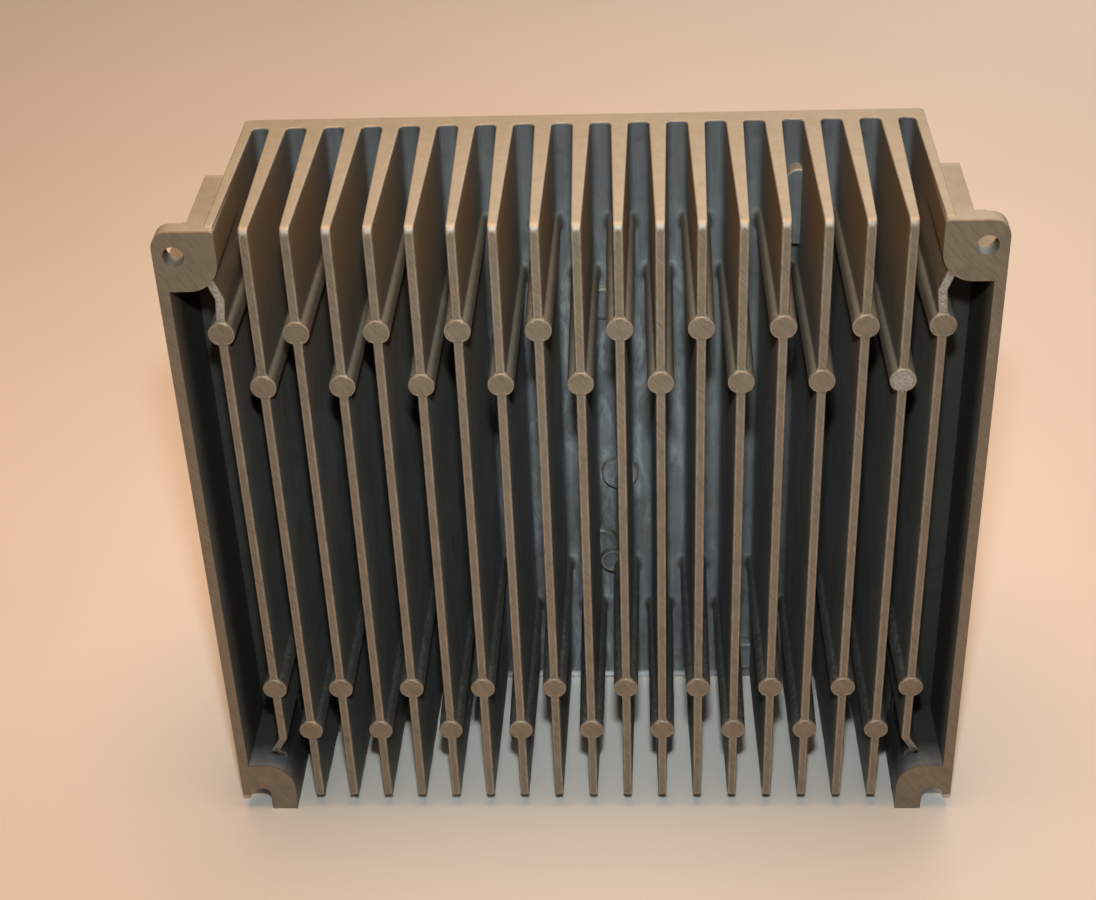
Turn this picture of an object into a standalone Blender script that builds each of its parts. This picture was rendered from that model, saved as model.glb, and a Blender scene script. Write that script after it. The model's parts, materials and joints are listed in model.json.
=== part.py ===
"""Micro inverter: a die-cast finned housing, with its electronics in a lidded tray behind the base plate.

The fins face -Y and the lid faces +Y. The four hanging ears lie in the plane of the fin tips.
+Z is up, and the origin is at the middle of the underside of the object's box.
Lengths below are in millimetres, and MM turns them into metres.
"""

import math

import bpy
import bmesh
from mathutils import Vector

MM = 0.001
GAP = 0.3                     # clearance between neighbouring pieces

# Fins. Both end fins close the outer slots and carry the side channels.
PITCH = 12.0                  # from one fin to the next
FIN_COUNT = 19                # end fins included
FIN_DEPTH = 69.6              # from the tips to the base plate
FIN_TIP = 2.8                 # thickness at the tip
FIN_ROOT = 5.5                # thickness at the base plate
END_FIN_ROOT = 3.4            # the end fins taper less
FIN_LOW = 5.4                 # underside of the inner fins
SLOT_ROOT_RADIUS = 2.0
FIN_SETBACK = 0.5             # tips stand this far behind the ear and pin faces
FIN_CORNER = 2.5              # rounding of the upper front corner

# Base plate and overall height
PLATE_THICKNESS = 6.0
HEIGHT = 229.0
PLATE_HALF = 107.4

# Ejector pin columns, in staggered rows: (height, first fin)
PIN_ROWS = ((194.4, 0), (175.6, 1), (55.3, 0), (36.6, 1))
PIN_TIP_RADIUS = 4.0
PIN_ROOT_RADIUS = 4.7
PIN_SIDES = 10

# Side channels and ears, as distances from the middle
EAR_IN = 104.5
EAR_OUT = 123.2
EAR_THICKNESS = 6.0
EAR_CORNER = 5.4
EAR_THROAT = 9.4              # rounding where an ear turns into its inner edge
UPPER_EAR_LOW = 209.2
LOWER_EAR_TOP = 19.8
EAR_HOLE = (117.0, 220.8)     # distance from the middle, height
EAR_HOLE_RADIUS = 3.2
SLOT_IN = 113.3
SLOT_OUT = 120.5
SLOT_TOP = 9.6
SLOT_CORNER = 2.2
OUTER_LEG_LOW = 6.6
BLOCK_OUT = 113.3             # outer face of the blocks behind the ears
CHANNEL_WALL = 3.4
CHANNEL_DEPTH = 31.0          # front plane to channel floor
CHANNEL_BACK = 37.0           # front plane to the back of the floor
WEB = 3.8

# Electronics tray on the back of the base plate
TRAY_HALF = 92.0
TRAY_LOW = 46.0
TRAY_TOP = 203.0
TRAY_DEPTH = 28.0
TRAY_WALL = 5.0
TRAY_CORNER = 8.0
LUG_RADIUS = 5.5
LUG_OUTSET = 4.0              # lug centre beyond the tray's outer face

# Lid
LID_DEPTH = 8.0
LID_FACE = 3.0
LUG_PLATE = 4.0               # thickness of the lid's lugs
GASKET_WIDTH = 2.4
GASKET_HEIGHT = 1.6
RIB_HEIGHT = 1.5
RIB_WIDTH = 3.0
RIB_COUNT = 13
RIB_PITCH = 12.0
PLATE_SIZE = (96.0, 52.0)     # blank rating plate
PLATE_HEIGHT = 0.8
PLATE_CENTRE = 130.0
PLATE_MARGIN = 6.0            # from the rating plate to the ribs
LENS_PLACE = (-62.0, 66.0)
LENS_RADIUS = 2.5
LENS_HEAD = 4.0
LENS_SINK = 1.5               # depth of the lens's counterbore

# Circuit board: the strip above it holds the power transistors
BOARD_HALF = 84.0
BOARD_LOW = 68.0
BOARD_TOP = 168.0
BOARD_THICKNESS = 1.6
BOARD_STANDOFF = 5.0
BOARD_SCREWS = ((-78.0, 74.0), (78.0, 74.0), (-78.0, 162.0), (78.0, 162.0))

# Power transistors, laid on the base plate under a clamp bar
TRANSISTOR_X = (-57.0, -19.0, 19.0, 57.0)
TRANSISTOR_Z = 182.0
TRANSISTOR_THICKNESS = 5.0
PAD_THICKNESS = 0.8
CLAMP_THICKNESS = 3.0
CLAMP_SCREWS = ((-36.0, TRANSISTOR_Z), (36.0, TRANSISTOR_Z))
CLAMP_POST = 4.0              # radius of the posts under the clamp bar
CLAMP_STANDOFF = 3.0

# Screws: pan heads with a hexagon socket
LID_SCREW_RADIUS = 2.0
BOARD_SCREW_RADIUS = 1.5
EARTH_SCREW_RADIUS = 2.5
HEAD_HEIGHT = 2.6
EARTH_PLACE = (92.0, 20.0)
EARTH_STANDOFF = 3.0

# Connectors in the tray's underside: distance from the middle
DC_PLACES = {"dc_inlet_positive": -68.0, "dc_inlet_negative": -40.0}
AC_PLACE = 52.0
VENT_PLACE = 4.0
DC_SHANK = 6.0
AC_SHANK = 9.0
AC_CONTACT = 1.5
AC_CONTACT_CIRCLE = 4.6
VENT_SHANK = 5.5
SEAL_HEIGHT = 1.5
SEAL_STACK = GAP + SEAL_HEIGHT + GAP
NUT_HEIGHT = 4.5

DEPTH = FIN_DEPTH + PLATE_THICKNESS + TRAY_DEPTH + GAP + LID_DEPTH
FRONT_Y = -DEPTH / 2
PLATE_Y = FRONT_Y + FIN_DEPTH
TRAY_Y = PLATE_Y + PLATE_THICKNESS
RIM_Y = TRAY_Y + TRAY_DEPTH
LID_Y = RIM_Y + GAP
BACK_Y = LID_Y + LID_DEPTH
BOARD_Y = TRAY_Y + BOARD_STANDOFF + GAP
BOARD_FACE_Y = BOARD_Y + BOARD_THICKNESS
CONNECTOR_Y = TRAY_Y + 15.0
LID_FACE_Y = BACK_Y - RIB_HEIGHT
TRANSISTOR_Y = TRAY_Y + GAP + PAD_THICKNESS + GAP
CLAMP_Y = TRANSISTOR_Y + TRANSISTOR_THICKNESS + GAP

# Places of the lid screws, clockwise from the upper left, as (x, z)
LUG_X = TRAY_HALF + LUG_OUTSET
LUG_PLACES = (
    (-LUG_X, TRAY_TOP - 14.0), (-30.0, TRAY_TOP + LUG_OUTSET), (30.0, TRAY_TOP + LUG_OUTSET),
    (LUG_X, TRAY_TOP - 14.0), (LUG_X, (TRAY_LOW + TRAY_TOP) / 2), (LUG_X, TRAY_LOW + 14.0),
    (22.0, TRAY_LOW - LUG_OUTSET), (-16.0, TRAY_LOW - LUG_OUTSET),
    (-LUG_X, TRAY_LOW + 14.0), (-LUG_X, (TRAY_LOW + TRAY_TOP) / 2),
)


# ---------------------------------------------------------------- materials

def material(name, colour, roughness, metallic=0.0):
    found = bpy.data.materials.get(name)
    if found:
        return found
    made = bpy.data.materials.new(name)
    made.use_nodes = True
    shader = made.node_tree.nodes["Principled BSDF"]
    shader.inputs["Base Color"].default_value = (*colour, 1.0)
    shader.inputs["Roughness"].default_value = roughness
    shader.inputs["Metallic"].default_value = metallic
    return made


def cast_aluminium():
    return material("cast_aluminium", (0.45, 0.42, 0.38), 0.55, 0.9)


def lid_aluminium():
    return material("lid_aluminium", (0.50, 0.49, 0.47), 0.5, 0.9)


def plate_aluminium():
    return material("plate_aluminium", (0.78, 0.78, 0.76), 0.35, 0.9)


def zinc_steel():
    return material("zinc_steel", (0.70, 0.70, 0.68), 0.3, 1.0)


def black_rubber():
    return material("black_rubber", (0.03, 0.03, 0.03), 0.75)


def black_plastic():
    return material("black_plastic", (0.04, 0.04, 0.045), 0.45)


def grey_plastic():
    return material("grey_plastic", (0.25, 0.26, 0.27), 0.5)


def clear_plastic():
    return material("clear_plastic", (0.75, 0.85, 0.78), 0.1)


def board_laminate():
    return material("board_laminate", (0.03, 0.20, 0.08), 0.45)


def ferrite():
    return material("ferrite", (0.09, 0.09, 0.10), 0.6)


def copper_wire():
    return material("copper_wire", (0.72, 0.35, 0.16), 0.35, 0.9)


def winding_tape():
    return material("winding_tape", (0.75, 0.60, 0.12), 0.4)


def capacitor_sleeve():
    return material("capacitor_sleeve", (0.05, 0.07, 0.16), 0.35)


def film_box():
    return material("film_box", (0.70, 0.58, 0.10), 0.45)


def varistor_coat():
    return material("varistor_coat", (0.10, 0.22, 0.50), 0.4)


def thermal_pad_grey():
    return material("thermal_pad_grey", (0.55, 0.60, 0.62), 0.8)


def contact_silver():
    return material("contact_silver", (0.85, 0.84, 0.80), 0.2, 1.0)


# ---------------------------------------------------------------- outlines

def arc(centre, radius, start, end, steps):
    """Points on a circle, with angles in degrees."""
    angles = (math.radians(start + (end - start) * i / steps) for i in range(steps + 1))
    return [(centre[0] + radius * math.cos(a), centre[1] + radius * math.sin(a)) for a in angles]


def circle(centre, radius, sides):
    return arc(centre, radius, 0.0, 360.0, sides)[:-1]


def rounded_box(low, high, radius, steps=3):
    """A rectangle from its low corner to its high corner, with rounded corners."""
    left, bottom = low[0] + radius, low[1] + radius
    right, top = high[0] - radius, high[1] - radius
    corners = ((right, top, 0), (left, top, 90), (left, bottom, 180), (right, bottom, 270))
    points = []
    for x, y, start in corners:
        points += arc((x, y), radius, start, start + 90, steps)
    return points


def hexagon(centre, across_flats):
    return circle(centre, across_flats / math.sqrt(3), 6)


def mirrored(outline, side):
    """The outline on the side given: 1 as drawn, -1 reflected in the middle plane."""
    return [(side * x, z) for x, z in outline]


# ---------------------------------------------------------------- meshes, in millimetres

def place_point(axis, across, along):
    """A point of a section drawn across an axis: across is (x, y) for Z, (x, z) for Y, (y, z) for X."""
    if axis == "X":
        return (along, across[0], across[1])
    if axis == "Y":
        return (across[0], along, across[1])
    return (across[0], across[1], along)


def bridge(rings, close_ends=True):
    """A closed mesh through rings that have the same number of points."""
    mesh = bmesh.new()
    made = [[mesh.verts.new(point) for point in ring] for ring in rings]
    for first, second in zip(made, made[1:]):
        for i in range(len(first)):
            j = (i + 1) % len(first)
            mesh.faces.new((first[i], first[j], second[j], second[i]))
    if close_ends:
        mesh.faces.new(list(reversed(made[0])))
        mesh.faces.new(made[-1])
    else:
        for i in range(len(made[0])):
            j = (i + 1) % len(made[0])
            mesh.faces.new((made[-1][i], made[-1][j], made[0][j], made[0][i]))
    bmesh.ops.recalc_face_normals(mesh, faces=mesh.faces)
    return mesh


def prism(outline, start, end, axis="Z"):
    return bridge([[place_point(axis, p, along) for p in outline] for along in (start, end)])


def box(low, high):
    outline = [(low[0], low[1]), (high[0], low[1]), (high[0], high[1]), (low[0], high[1])]
    return prism(outline, low[2], high[2])


def turned(profile, sides, axis="Z", centre=(0.0, 0.0)):
    """A solid turned from (radius, place along the axis) points, listed from one flat end to the other."""
    return bridge([
        [place_point(axis, p, along) for p in circle(centre, radius, sides)]
        for radius, along in profile
    ])


def swept_ring(section, sides):
    """A ring about Z: each (radius, height) point of the closed section goes all the way round."""
    mesh = bmesh.new()
    rings = [
        [mesh.verts.new((x, y, height)) for x, y in circle((0.0, 0.0), radius, sides)]
        for radius, height in section
    ]
    for k, ring in enumerate(rings):
        after = rings[(k + 1) % len(rings)]
        for i in range(sides):
            j = (i + 1) % sides
            mesh.faces.new((ring[i], ring[j], after[j], after[i]))
    bmesh.ops.recalc_face_normals(mesh, faces=mesh.faces)
    return mesh


def add_object(name, mesh, finish=None, place=(0.0, 0.0, 0.0), smooth=False):
    """An object from a bmesh drawn in millimetres about its own origin."""
    bmesh.ops.scale(mesh, vec=(MM, MM, MM), verts=mesh.verts)
    data = bpy.data.meshes.new(name)
    mesh.to_mesh(data)
    mesh.free()
    made = bpy.data.objects.new(name, data)
    made.location = Vector(place) * MM
    if finish:
        data.materials.append(finish)
    if smooth:
        data.shade_smooth()
        data.set_sharp_from_angle(angle=math.radians(35.0))
    bpy.context.scene.collection.objects.link(made)
    return made


def helper_group(name, meshes, place):
    """A hidden collection of shapes for a Boolean."""
    group = bpy.data.collections.new(name)
    bpy.context.scene.collection.children.link(group)
    for number, mesh in enumerate(meshes):
        made = add_object(f"{name}_{number:02d}", mesh, place=place)
        bpy.context.scene.collection.objects.unlink(made)
        group.objects.link(made)
        made.hide_render = True
        made.display_type = "WIRE"
    return group


def add_solid(name, lumps, finish, cuts=(), place=(0.0, 0.0, 0.0)):
    """One solid: the first lump, joined with the others, with the cuts taken out."""
    made = add_object(name, lumps[0], finish, place)
    steps = (("UNION", lumps[1:], "joined"), ("DIFFERENCE", cuts, "cut"))
    for operation, meshes, word in steps:
        if not meshes:
            continue
        modifier = made.modifiers.new(word, "BOOLEAN")
        modifier.operation = operation
        modifier.solver = "EXACT"
        modifier.operand_type = "COLLECTION"
        modifier.collection = helper_group(f"{name}_{word}", meshes, place)
    return made


# ---------------------------------------------------------------- the casting, fin side

def fin_x(number):
    return (number - (FIN_COUNT - 1) / 2) * PITCH


def half_thickness(depth):
    return (FIN_TIP + (FIN_ROOT - FIN_TIP) * depth / FIN_DEPTH) / 2


def fin_comb():
    """All fins between the end fins, as one section with rounded slot roots."""
    radius = SLOT_ROOT_RADIUS
    root = half_thickness(FIN_DEPTH)
    back = FIN_DEPTH + PLATE_THICKNESS / 2
    flank = [
        (half_thickness(0.0), FIN_SETBACK),
        (root - 0.03, FIN_DEPTH - radius),
        (root + 0.3 * radius, FIN_DEPTH - 0.3 * radius),
        (root + radius, FIN_DEPTH),
    ]
    outline = []
    for number in range(1, FIN_COUNT - 1):
        x = fin_x(number)
        outline += [(x - out, depth) for out, depth in reversed(flank)]
        outline += [(x + out, depth) for out, depth in flank]
    outline.append((fin_x(FIN_COUNT - 2) + root + radius, back))
    outline.append((fin_x(1) - root - radius, back))
    section = [(x, FRONT_Y + depth) for x, depth in outline]
    mesh = prism(section, FIN_LOW, HEIGHT)
    round_fin_corners(mesh)
    return mesh


def round_fin_corners(mesh):
    tip_y = FRONT_Y + FIN_SETBACK
    corners = [
        edge for edge in mesh.edges
        if all(abs(v.co.y - tip_y) < 0.01 and v.co.z > HEIGHT - 0.01 for v in edge.verts)
    ]
    bmesh.ops.bevel(mesh, geom=corners, offset=FIN_CORNER, segments=2, profile=0.5, affect="EDGES")


def end_fin(side):
    """An outermost fin: its front edge turns outwards at both ends to meet the ears."""
    back_x = PLATE_HALF - END_FIN_ROOT / 2
    # height, middle of the front edge, setback of the front edge
    stations = (
        (0.0, 107.5, 12.0),
        (LOWER_EAR_TOP, 109.4, 7.0),
        (25.6, 110.0, 2.0),
        (32.2, 106.3, FIN_SETBACK),
        (194.4, 106.4, FIN_SETBACK),
        (206.0, 105.4, FIN_SETBACK),
        (212.5, 107.9, FIN_SETBACK),
        (HEIGHT, 106.4, FIN_SETBACK + 1.0),
    )
    tip, root = FIN_TIP / 2, END_FIN_ROOT / 2
    front = [(x + tip, setback, z) for z, x, setback in stations]
    front += [(x - tip, setback, z) for z, x, setback in reversed(stations)]
    back = [(back_x + root, FIN_DEPTH + 1.0, z) for z, _, _ in stations]
    back += [(back_x - root, FIN_DEPTH + 1.0, z) for z, _, _ in reversed(stations)]
    rings = [[(side * x, FRONT_Y + depth, z) for x, depth, z in ring] for ring in (front, back)]
    mesh = bridge(rings)
    bmesh.ops.triangulate(mesh, faces=mesh.faces)
    return mesh


def pin_columns():
    """Round columns on the fins, where the ejector pins pushed: alternate fins in each row."""
    columns = []
    for height, first in PIN_ROWS:
        for number in range(first, FIN_COUNT, 2):
            x = min(max(fin_x(number), -106.4), 106.4)
            profile = ((PIN_TIP_RADIUS, FRONT_Y), (PIN_ROOT_RADIUS, PLATE_Y + 1.0))
            columns.append(turned(profile, PIN_SIDES, "Y", (x, height)))
    return columns


def base_plate():
    outline = rounded_box((-PLATE_HALF, 0.0), (PLATE_HALF, HEIGHT), 3.0, 2)
    return prism(outline, PLATE_Y, TRAY_Y, "Y")


def upper_ear_outline(outer):
    """The ear as seen from the front, out to the distance given."""
    throat = arc((EAR_IN + EAR_THROAT, UPPER_EAR_LOW + EAR_THROAT), EAR_THROAT, 180, 270, 4)
    corner = [(outer, HEIGHT)]
    if outer > BLOCK_OUT:
        corner = arc((outer - EAR_CORNER, HEIGHT - EAR_CORNER), EAR_CORNER, 0, 90, 3)
    low = [(outer, UPPER_EAR_LOW)] if outer > EAR_IN + EAR_THROAT else []
    return throat + low + corner + arc((EAR_IN + 1.5, HEIGHT - 1.5), 1.5, 90, 180, 1)


def lower_ear_outline():
    throat = arc((EAR_IN + EAR_THROAT, LOWER_EAR_TOP - EAR_THROAT), EAR_THROAT, 90, 180, 4)
    slot = arc((SLOT_IN + SLOT_CORNER, SLOT_TOP - SLOT_CORNER), SLOT_CORNER, 180, 90, 2)
    slot += arc((SLOT_OUT - SLOT_CORNER, SLOT_TOP - SLOT_CORNER), SLOT_CORNER, 90, 0, 2)
    leg = [(SLOT_OUT, OUTER_LEG_LOW + 0.8), (SLOT_OUT + 0.8, OUTER_LEG_LOW)]
    leg += [(EAR_OUT - 0.8, OUTER_LEG_LOW), (EAR_OUT, OUTER_LEG_LOW + 0.8)]
    return throat + [(EAR_IN, 0.0), (SLOT_IN, 0.0)] + slot + leg + [(EAR_OUT, LOWER_EAR_TOP)]


def lower_block_outline():
    throat = arc((EAR_IN + EAR_THROAT, LOWER_EAR_TOP - EAR_THROAT), EAR_THROAT, 90, 180, 4)
    inside = [(x, z) for x, z in throat if x < BLOCK_OUT]
    return [(BLOCK_OUT, LOWER_EAR_TOP)] + inside + [(EAR_IN, 0.0), (BLOCK_OUT, 0.0)]


def side_structure(side):
    """Ears, the blocks behind them and the channel between them, on one side."""
    ear_back = FRONT_Y + EAR_THICKNESS
    block_back = FRONT_Y + CHANNEL_BACK
    low = LOWER_EAR_TOP - WEB
    high = UPPER_EAR_LOW + WEB
    inner = PLATE_HALF - 2.0
    wall_low, wall_high = LOWER_EAR_TOP - 2.0, UPPER_EAR_LOW + 2.0
    wall_in = EAR_OUT - CHANNEL_WALL
    wall = [(EAR_OUT, 0.0), (EAR_OUT, CHANNEL_BACK), (wall_in - 0.7, CHANNEL_BACK), (wall_in, 0.0)]
    wall = [(side * x, FRONT_Y + depth) for x, depth in wall]
    floor = [(inner, CHANNEL_DEPTH), (EAR_OUT - 0.5, CHANNEL_DEPTH)]
    floor += [(EAR_OUT - 0.5, CHANNEL_BACK), (inner, CHANNEL_BACK)]
    floor = [(side * x, FRONT_Y + depth) for x, depth in floor]
    lumps = [
        prism(mirrored(upper_ear_outline(EAR_OUT), side), FRONT_Y, ear_back, "Y"),
        prism(mirrored(lower_ear_outline(), side), FRONT_Y, ear_back, "Y"),
        prism(mirrored(upper_ear_outline(BLOCK_OUT), side), ear_back - 1.0, block_back, "Y"),
        prism(mirrored(lower_block_outline(), side), ear_back - 1.0, block_back, "Y"),
        prism(wall, wall_low, wall_high),
        prism(floor, low, high),
    ]
    for bottom, top in ((low, LOWER_EAR_TOP), (UPPER_EAR_LOW, high)):
        xs = sorted((side * (BLOCK_OUT - 2.0), side * (EAR_OUT - 0.5)))
        lumps.append(box((xs[0], ear_back - 1.0, bottom), (xs[1], block_back - 1.0, top)))
    return lumps


def plate_bosses():
    """Low round bosses on the fin side of the base plate, behind the screws of the tray."""
    # x, height, radius, how far each stands forward
    bosses = (
        (10.2, 96.0, 6.4, 3.0), (2.4, 65.0, 7.0, 3.0), (7.4, 59.0, 5.0, 4.5),
        (5.9, 164.0, 6.0, 1.5), (55.8, 12.5, 6.0, 3.0),
    )
    lumps = []
    for x, z, radius, proud in bosses:
        profile = ((radius - 0.5, PLATE_Y - proud), (radius, PLATE_Y + 1.0))
        lumps.append(turned(profile, PIN_SIDES, "Y", (x, z)))
    tall = rounded_box((63.5, 187.0), (73.5, 214.0), 4.9, 3)
    lumps.append(prism(tall, PLATE_Y - 5.0, PLATE_Y + 1.0, "Y"))
    return lumps


# ---------------------------------------------------------------- the casting, tray side

def tray_outline(inset):
    low = (-TRAY_HALF + inset, TRAY_LOW + inset)
    high = (TRAY_HALF - inset, TRAY_TOP - inset)
    return rounded_box(low, high, TRAY_CORNER - 0.6 * inset, 3)


def lug_column(place, radius, start, end):
    return turned(((radius, start), (radius, end)), 12, "Y", place)


def tray_wall():
    """The open box behind the base plate that holds the electronics."""
    rings = (
        (0.0, TRAY_Y - 1.0), (0.0, RIM_Y),
        (TRAY_WALL, RIM_Y), (TRAY_WALL, TRAY_Y - 1.0),
    )
    return bridge([[(x, y, z) for x, z in tray_outline(inset)] for inset, y in rings], False)


def board_posts():
    """Posts that the circuit board, the clamp bar and the earth screw stand on."""
    kinds = (
        (BOARD_SCREWS, 4.5, BOARD_STANDOFF), (CLAMP_SCREWS, CLAMP_POST, CLAMP_STANDOFF),
        ((EARTH_PLACE,), 7.0, EARTH_STANDOFF),
    )
    return [
        lug_column(place, radius, TRAY_Y - 1.0, TRAY_Y + standoff)
        for places, radius, standoff in kinds for place in places
    ]


def through_hole(place, radius, start, end, axis="Y", sides=12):
    return turned(((radius, start), (radius, end)), sides, axis, place)


def casting_holes():
    ear_front, ear_back = FRONT_Y - 1.0, FRONT_Y + EAR_THICKNESS + 1.0
    cuts = []
    for side in (-1, 1):
        place = (side * EAR_HOLE[0], EAR_HOLE[1])
        cuts.append(through_hole(place, EAR_HOLE_RADIUS, ear_front, ear_back, sides=20))
    for place in LUG_PLACES:
        cuts.append(through_hole(place, LID_SCREW_RADIUS + GAP, RIM_Y - 12.0, RIM_Y + 1.0))
    small_holes = [(place, BOARD_SCREW_RADIUS) for place in BOARD_SCREWS + CLAMP_SCREWS]
    for place, radius in small_holes + [(EARTH_PLACE, EARTH_SCREW_RADIUS)]:
        hole_end = TRAY_Y + BOARD_STANDOFF + 1.0
        cuts.append(through_hole(place, radius + GAP, TRAY_Y - 3.0, hole_end))
    low, high = TRAY_LOW - 2.0, TRAY_LOW + TRAY_WALL + 2.0
    shanks = [(x, DC_SHANK) for x in DC_PLACES.values()]
    for x, radius in shanks + [(AC_PLACE, AC_SHANK), (VENT_PLACE, VENT_SHANK)]:
        cuts.append(through_hole((x, CONNECTOR_Y), radius + GAP, low, high, "Z", 16))
    return cuts


def heatsink_casting():
    lumps = [base_plate(), fin_comb(), end_fin(-1), end_fin(1)]
    lumps += side_structure(-1) + side_structure(1)
    lumps += pin_columns() + plate_bosses()
    lumps.append(tray_wall())
    lumps += [lug_column(place, LUG_RADIUS, TRAY_Y - 1.0, RIM_Y) for place in LUG_PLACES]
    lumps += board_posts()
    add_solid("heatsink_casting", lumps, cast_aluminium(), casting_holes())


# ---------------------------------------------------------------- screws

def add_screw(name, place, seat_y, length, radius, head_radius):
    """A pan-head screw driven along -Y, with a hexagon socket. Its origin is under the head."""
    profile = (
        (radius, -length), (radius, 0.0), (head_radius, 0.0), (head_radius, 0.6 * HEAD_HEIGHT),
        (0.75 * head_radius, HEAD_HEIGHT),
    )
    head = turned(profile, 10, "Y")
    socket = prism(hexagon((0.0, 0.0), 1.1 * radius), 0.35 * HEAD_HEIGHT, HEAD_HEIGHT + 1.0, "Y")
    add_solid(name, [head], zinc_steel(), [socket], (place[0], seat_y, place[1]))


def all_screws():
    lid_seat = LID_Y + LUG_PLATE + GAP
    for number, place in enumerate(LUG_PLACES, 1):
        add_screw(f"lid_screw_{number:02d}", place, lid_seat, 14.0, LID_SCREW_RADIUS, 3.6)
    for number, place in enumerate(BOARD_SCREWS, 1):
        add_screw(f"board_screw_{number}", place, BOARD_FACE_Y + GAP, 8.5, BOARD_SCREW_RADIUS, 2.9)
    clamp_seat = CLAMP_Y + CLAMP_THICKNESS + GAP
    for number, place in enumerate(CLAMP_SCREWS, 1):
        add_screw(f"clamp_screw_{number}", place, clamp_seat, 10.0, BOARD_SCREW_RADIUS, 2.9)
    earth_seat = TRAY_Y + EARTH_STANDOFF + GAP
    add_screw("earth_screw", EARTH_PLACE, earth_seat, 5.0, EARTH_SCREW_RADIUS, 5.2)


def turn_to_y():
    """Turns what points along +Z to point along +Y."""
    return Vector((0, 0, 1)).rotation_difference(Vector((0, 1, 0))).to_matrix()


# ---------------------------------------------------------------- lid side

def rear_lid():
    """A dished lid with screw lugs, ribs on its face and a groove for the gasket."""
    skirt = prism(tray_outline(0.0), LID_Y, LID_FACE_Y, "Y")
    lugs = [lug_column(place, LUG_RADIUS, LID_Y, LID_Y + LUG_PLATE) for place in LUG_PLACES]
    dish = prism(tray_outline(TRAY_WALL), LID_Y - 1.0, LID_FACE_Y - LID_FACE, "Y")
    cuts = [dish, gasket_ring(GASKET_WIDTH / 2 + GAP, LID_Y - 1.0, LID_Y + GASKET_HEIGHT + GAP)]
    for place in LUG_PLACES:
        cuts.append(through_hole(place, LID_SCREW_RADIUS + GAP, LID_Y - 1.0, LID_Y + LUG_PLATE + 1.0))
    cuts.append(through_hole(LENS_PLACE, LENS_RADIUS + GAP, LID_Y - 1.0, BACK_Y + 1.0, sides=16))
    cuts.append(through_hole(LENS_PLACE, LENS_HEAD + GAP, LID_FACE_Y - LENS_SINK, BACK_Y + 1.0, sides=16))
    half = PLATE_SIZE[0] / 2 + GAP
    tall = PLATE_SIZE[1] / 2 + GAP
    pocket = rounded_box((-half, PLATE_CENTRE - tall), (half, PLATE_CENTRE + tall), 3.0, 2)
    cuts.append(prism(pocket, LID_FACE_Y - PLATE_HEIGHT - GAP, BACK_Y + 1.0, "Y"))
    add_solid("rear_lid", [skirt] + lugs + lid_ribs(), lid_aluminium(), cuts)


def lid_ribs():
    """Upright ribs on the lid's face. Those in the middle are interrupted by the rating plate."""
    ribs = []
    low, high = TRAY_LOW + 34.0, TRAY_TOP - 14.0
    clear = PLATE_SIZE[1] / 2 + PLATE_MARGIN
    split = ((low, PLATE_CENTRE - clear), (PLATE_CENTRE + clear, high))
    for number in range(RIB_COUNT):
        x = (number - (RIB_COUNT - 1) / 2) * RIB_PITCH
        beside_plate = abs(x) > PLATE_SIZE[0] / 2 + PLATE_MARGIN
        for bottom, top in [(low, high)] if beside_plate else split:
            corners = ((x - RIB_WIDTH / 2, bottom), (x + RIB_WIDTH / 2, top))
            ribs.append(prism(rounded_box(*corners, 1.2, 1), LID_FACE_Y - 1.0, BACK_Y, "Y"))
    return ribs


def gasket_ring(half_width, start, end):
    """A band that follows the middle of the tray's rim."""
    middle = TRAY_WALL / 2
    rings = (
        (middle - half_width, start), (middle - half_width, end),
        (middle + half_width, end), (middle + half_width, start),
    )
    return bridge([[(x, y, z) for x, z in tray_outline(inset)] for inset, y in rings], False)


def lid_gasket():
    ring = gasket_ring(GASKET_WIDTH / 2, RIM_Y + GAP, RIM_Y + GAP + GASKET_HEIGHT)
    add_object("lid_gasket", ring, black_rubber())


def rating_plate():
    """A blank plate in the lid's pocket."""
    half, tall = PLATE_SIZE[0] / 2, PLATE_SIZE[1] / 2
    outline = rounded_box((-half, -tall), (half, tall), 2.7, 2)
    place = (0.0, LID_FACE_Y - PLATE_HEIGHT, PLATE_CENTRE)
    add_object("rating_plate", prism(outline, 0.0, PLATE_HEIGHT, "Y"), plate_aluminium(), place)


def status_lens():
    """A light pipe through the lid, from the board's lamp to the lid's face."""
    profile = (
        (LENS_RADIUS, -14.0), (LENS_RADIUS, 0.0), (LENS_HEAD, 0.0), (LENS_HEAD, 1.2),
        (LENS_HEAD - 0.6, 1.8),
    )
    place = (LENS_PLACE[0], LID_FACE_Y - LENS_SINK + GAP, LENS_PLACE[1])
    add_object("status_lens", turned(profile, 16, "Y"), clear_plastic(), place, smooth=True)


# ---------------------------------------------------------------- connectors under the tray

def under_tray(x, above=0.0):
    """A place on a connector's axis, counted from the tray's underside."""
    return (x, CONNECTOR_Y, TRAY_LOW + above)


def add_seal(name, x, shank, radius):
    section = ((shank + GAP, 0.0), (radius, 0.0), (radius, SEAL_HEIGHT), (shank + GAP, SEAL_HEIGHT))
    place = under_tray(x, -GAP - SEAL_HEIGHT)
    add_object(name, swept_ring(section, 20), black_rubber(), place, smooth=True)


def add_nut(name, x, shank, across_flats):
    hole = turned(((shank + GAP, -1.0), (shank + GAP, NUT_HEIGHT + 1.0)), 16)
    nut = prism(hexagon((0.0, 0.0), across_flats), 0.0, NUT_HEIGHT)
    add_solid(name, [nut], black_plastic(), [hole], under_tray(x, TRAY_WALL + GAP))


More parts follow.
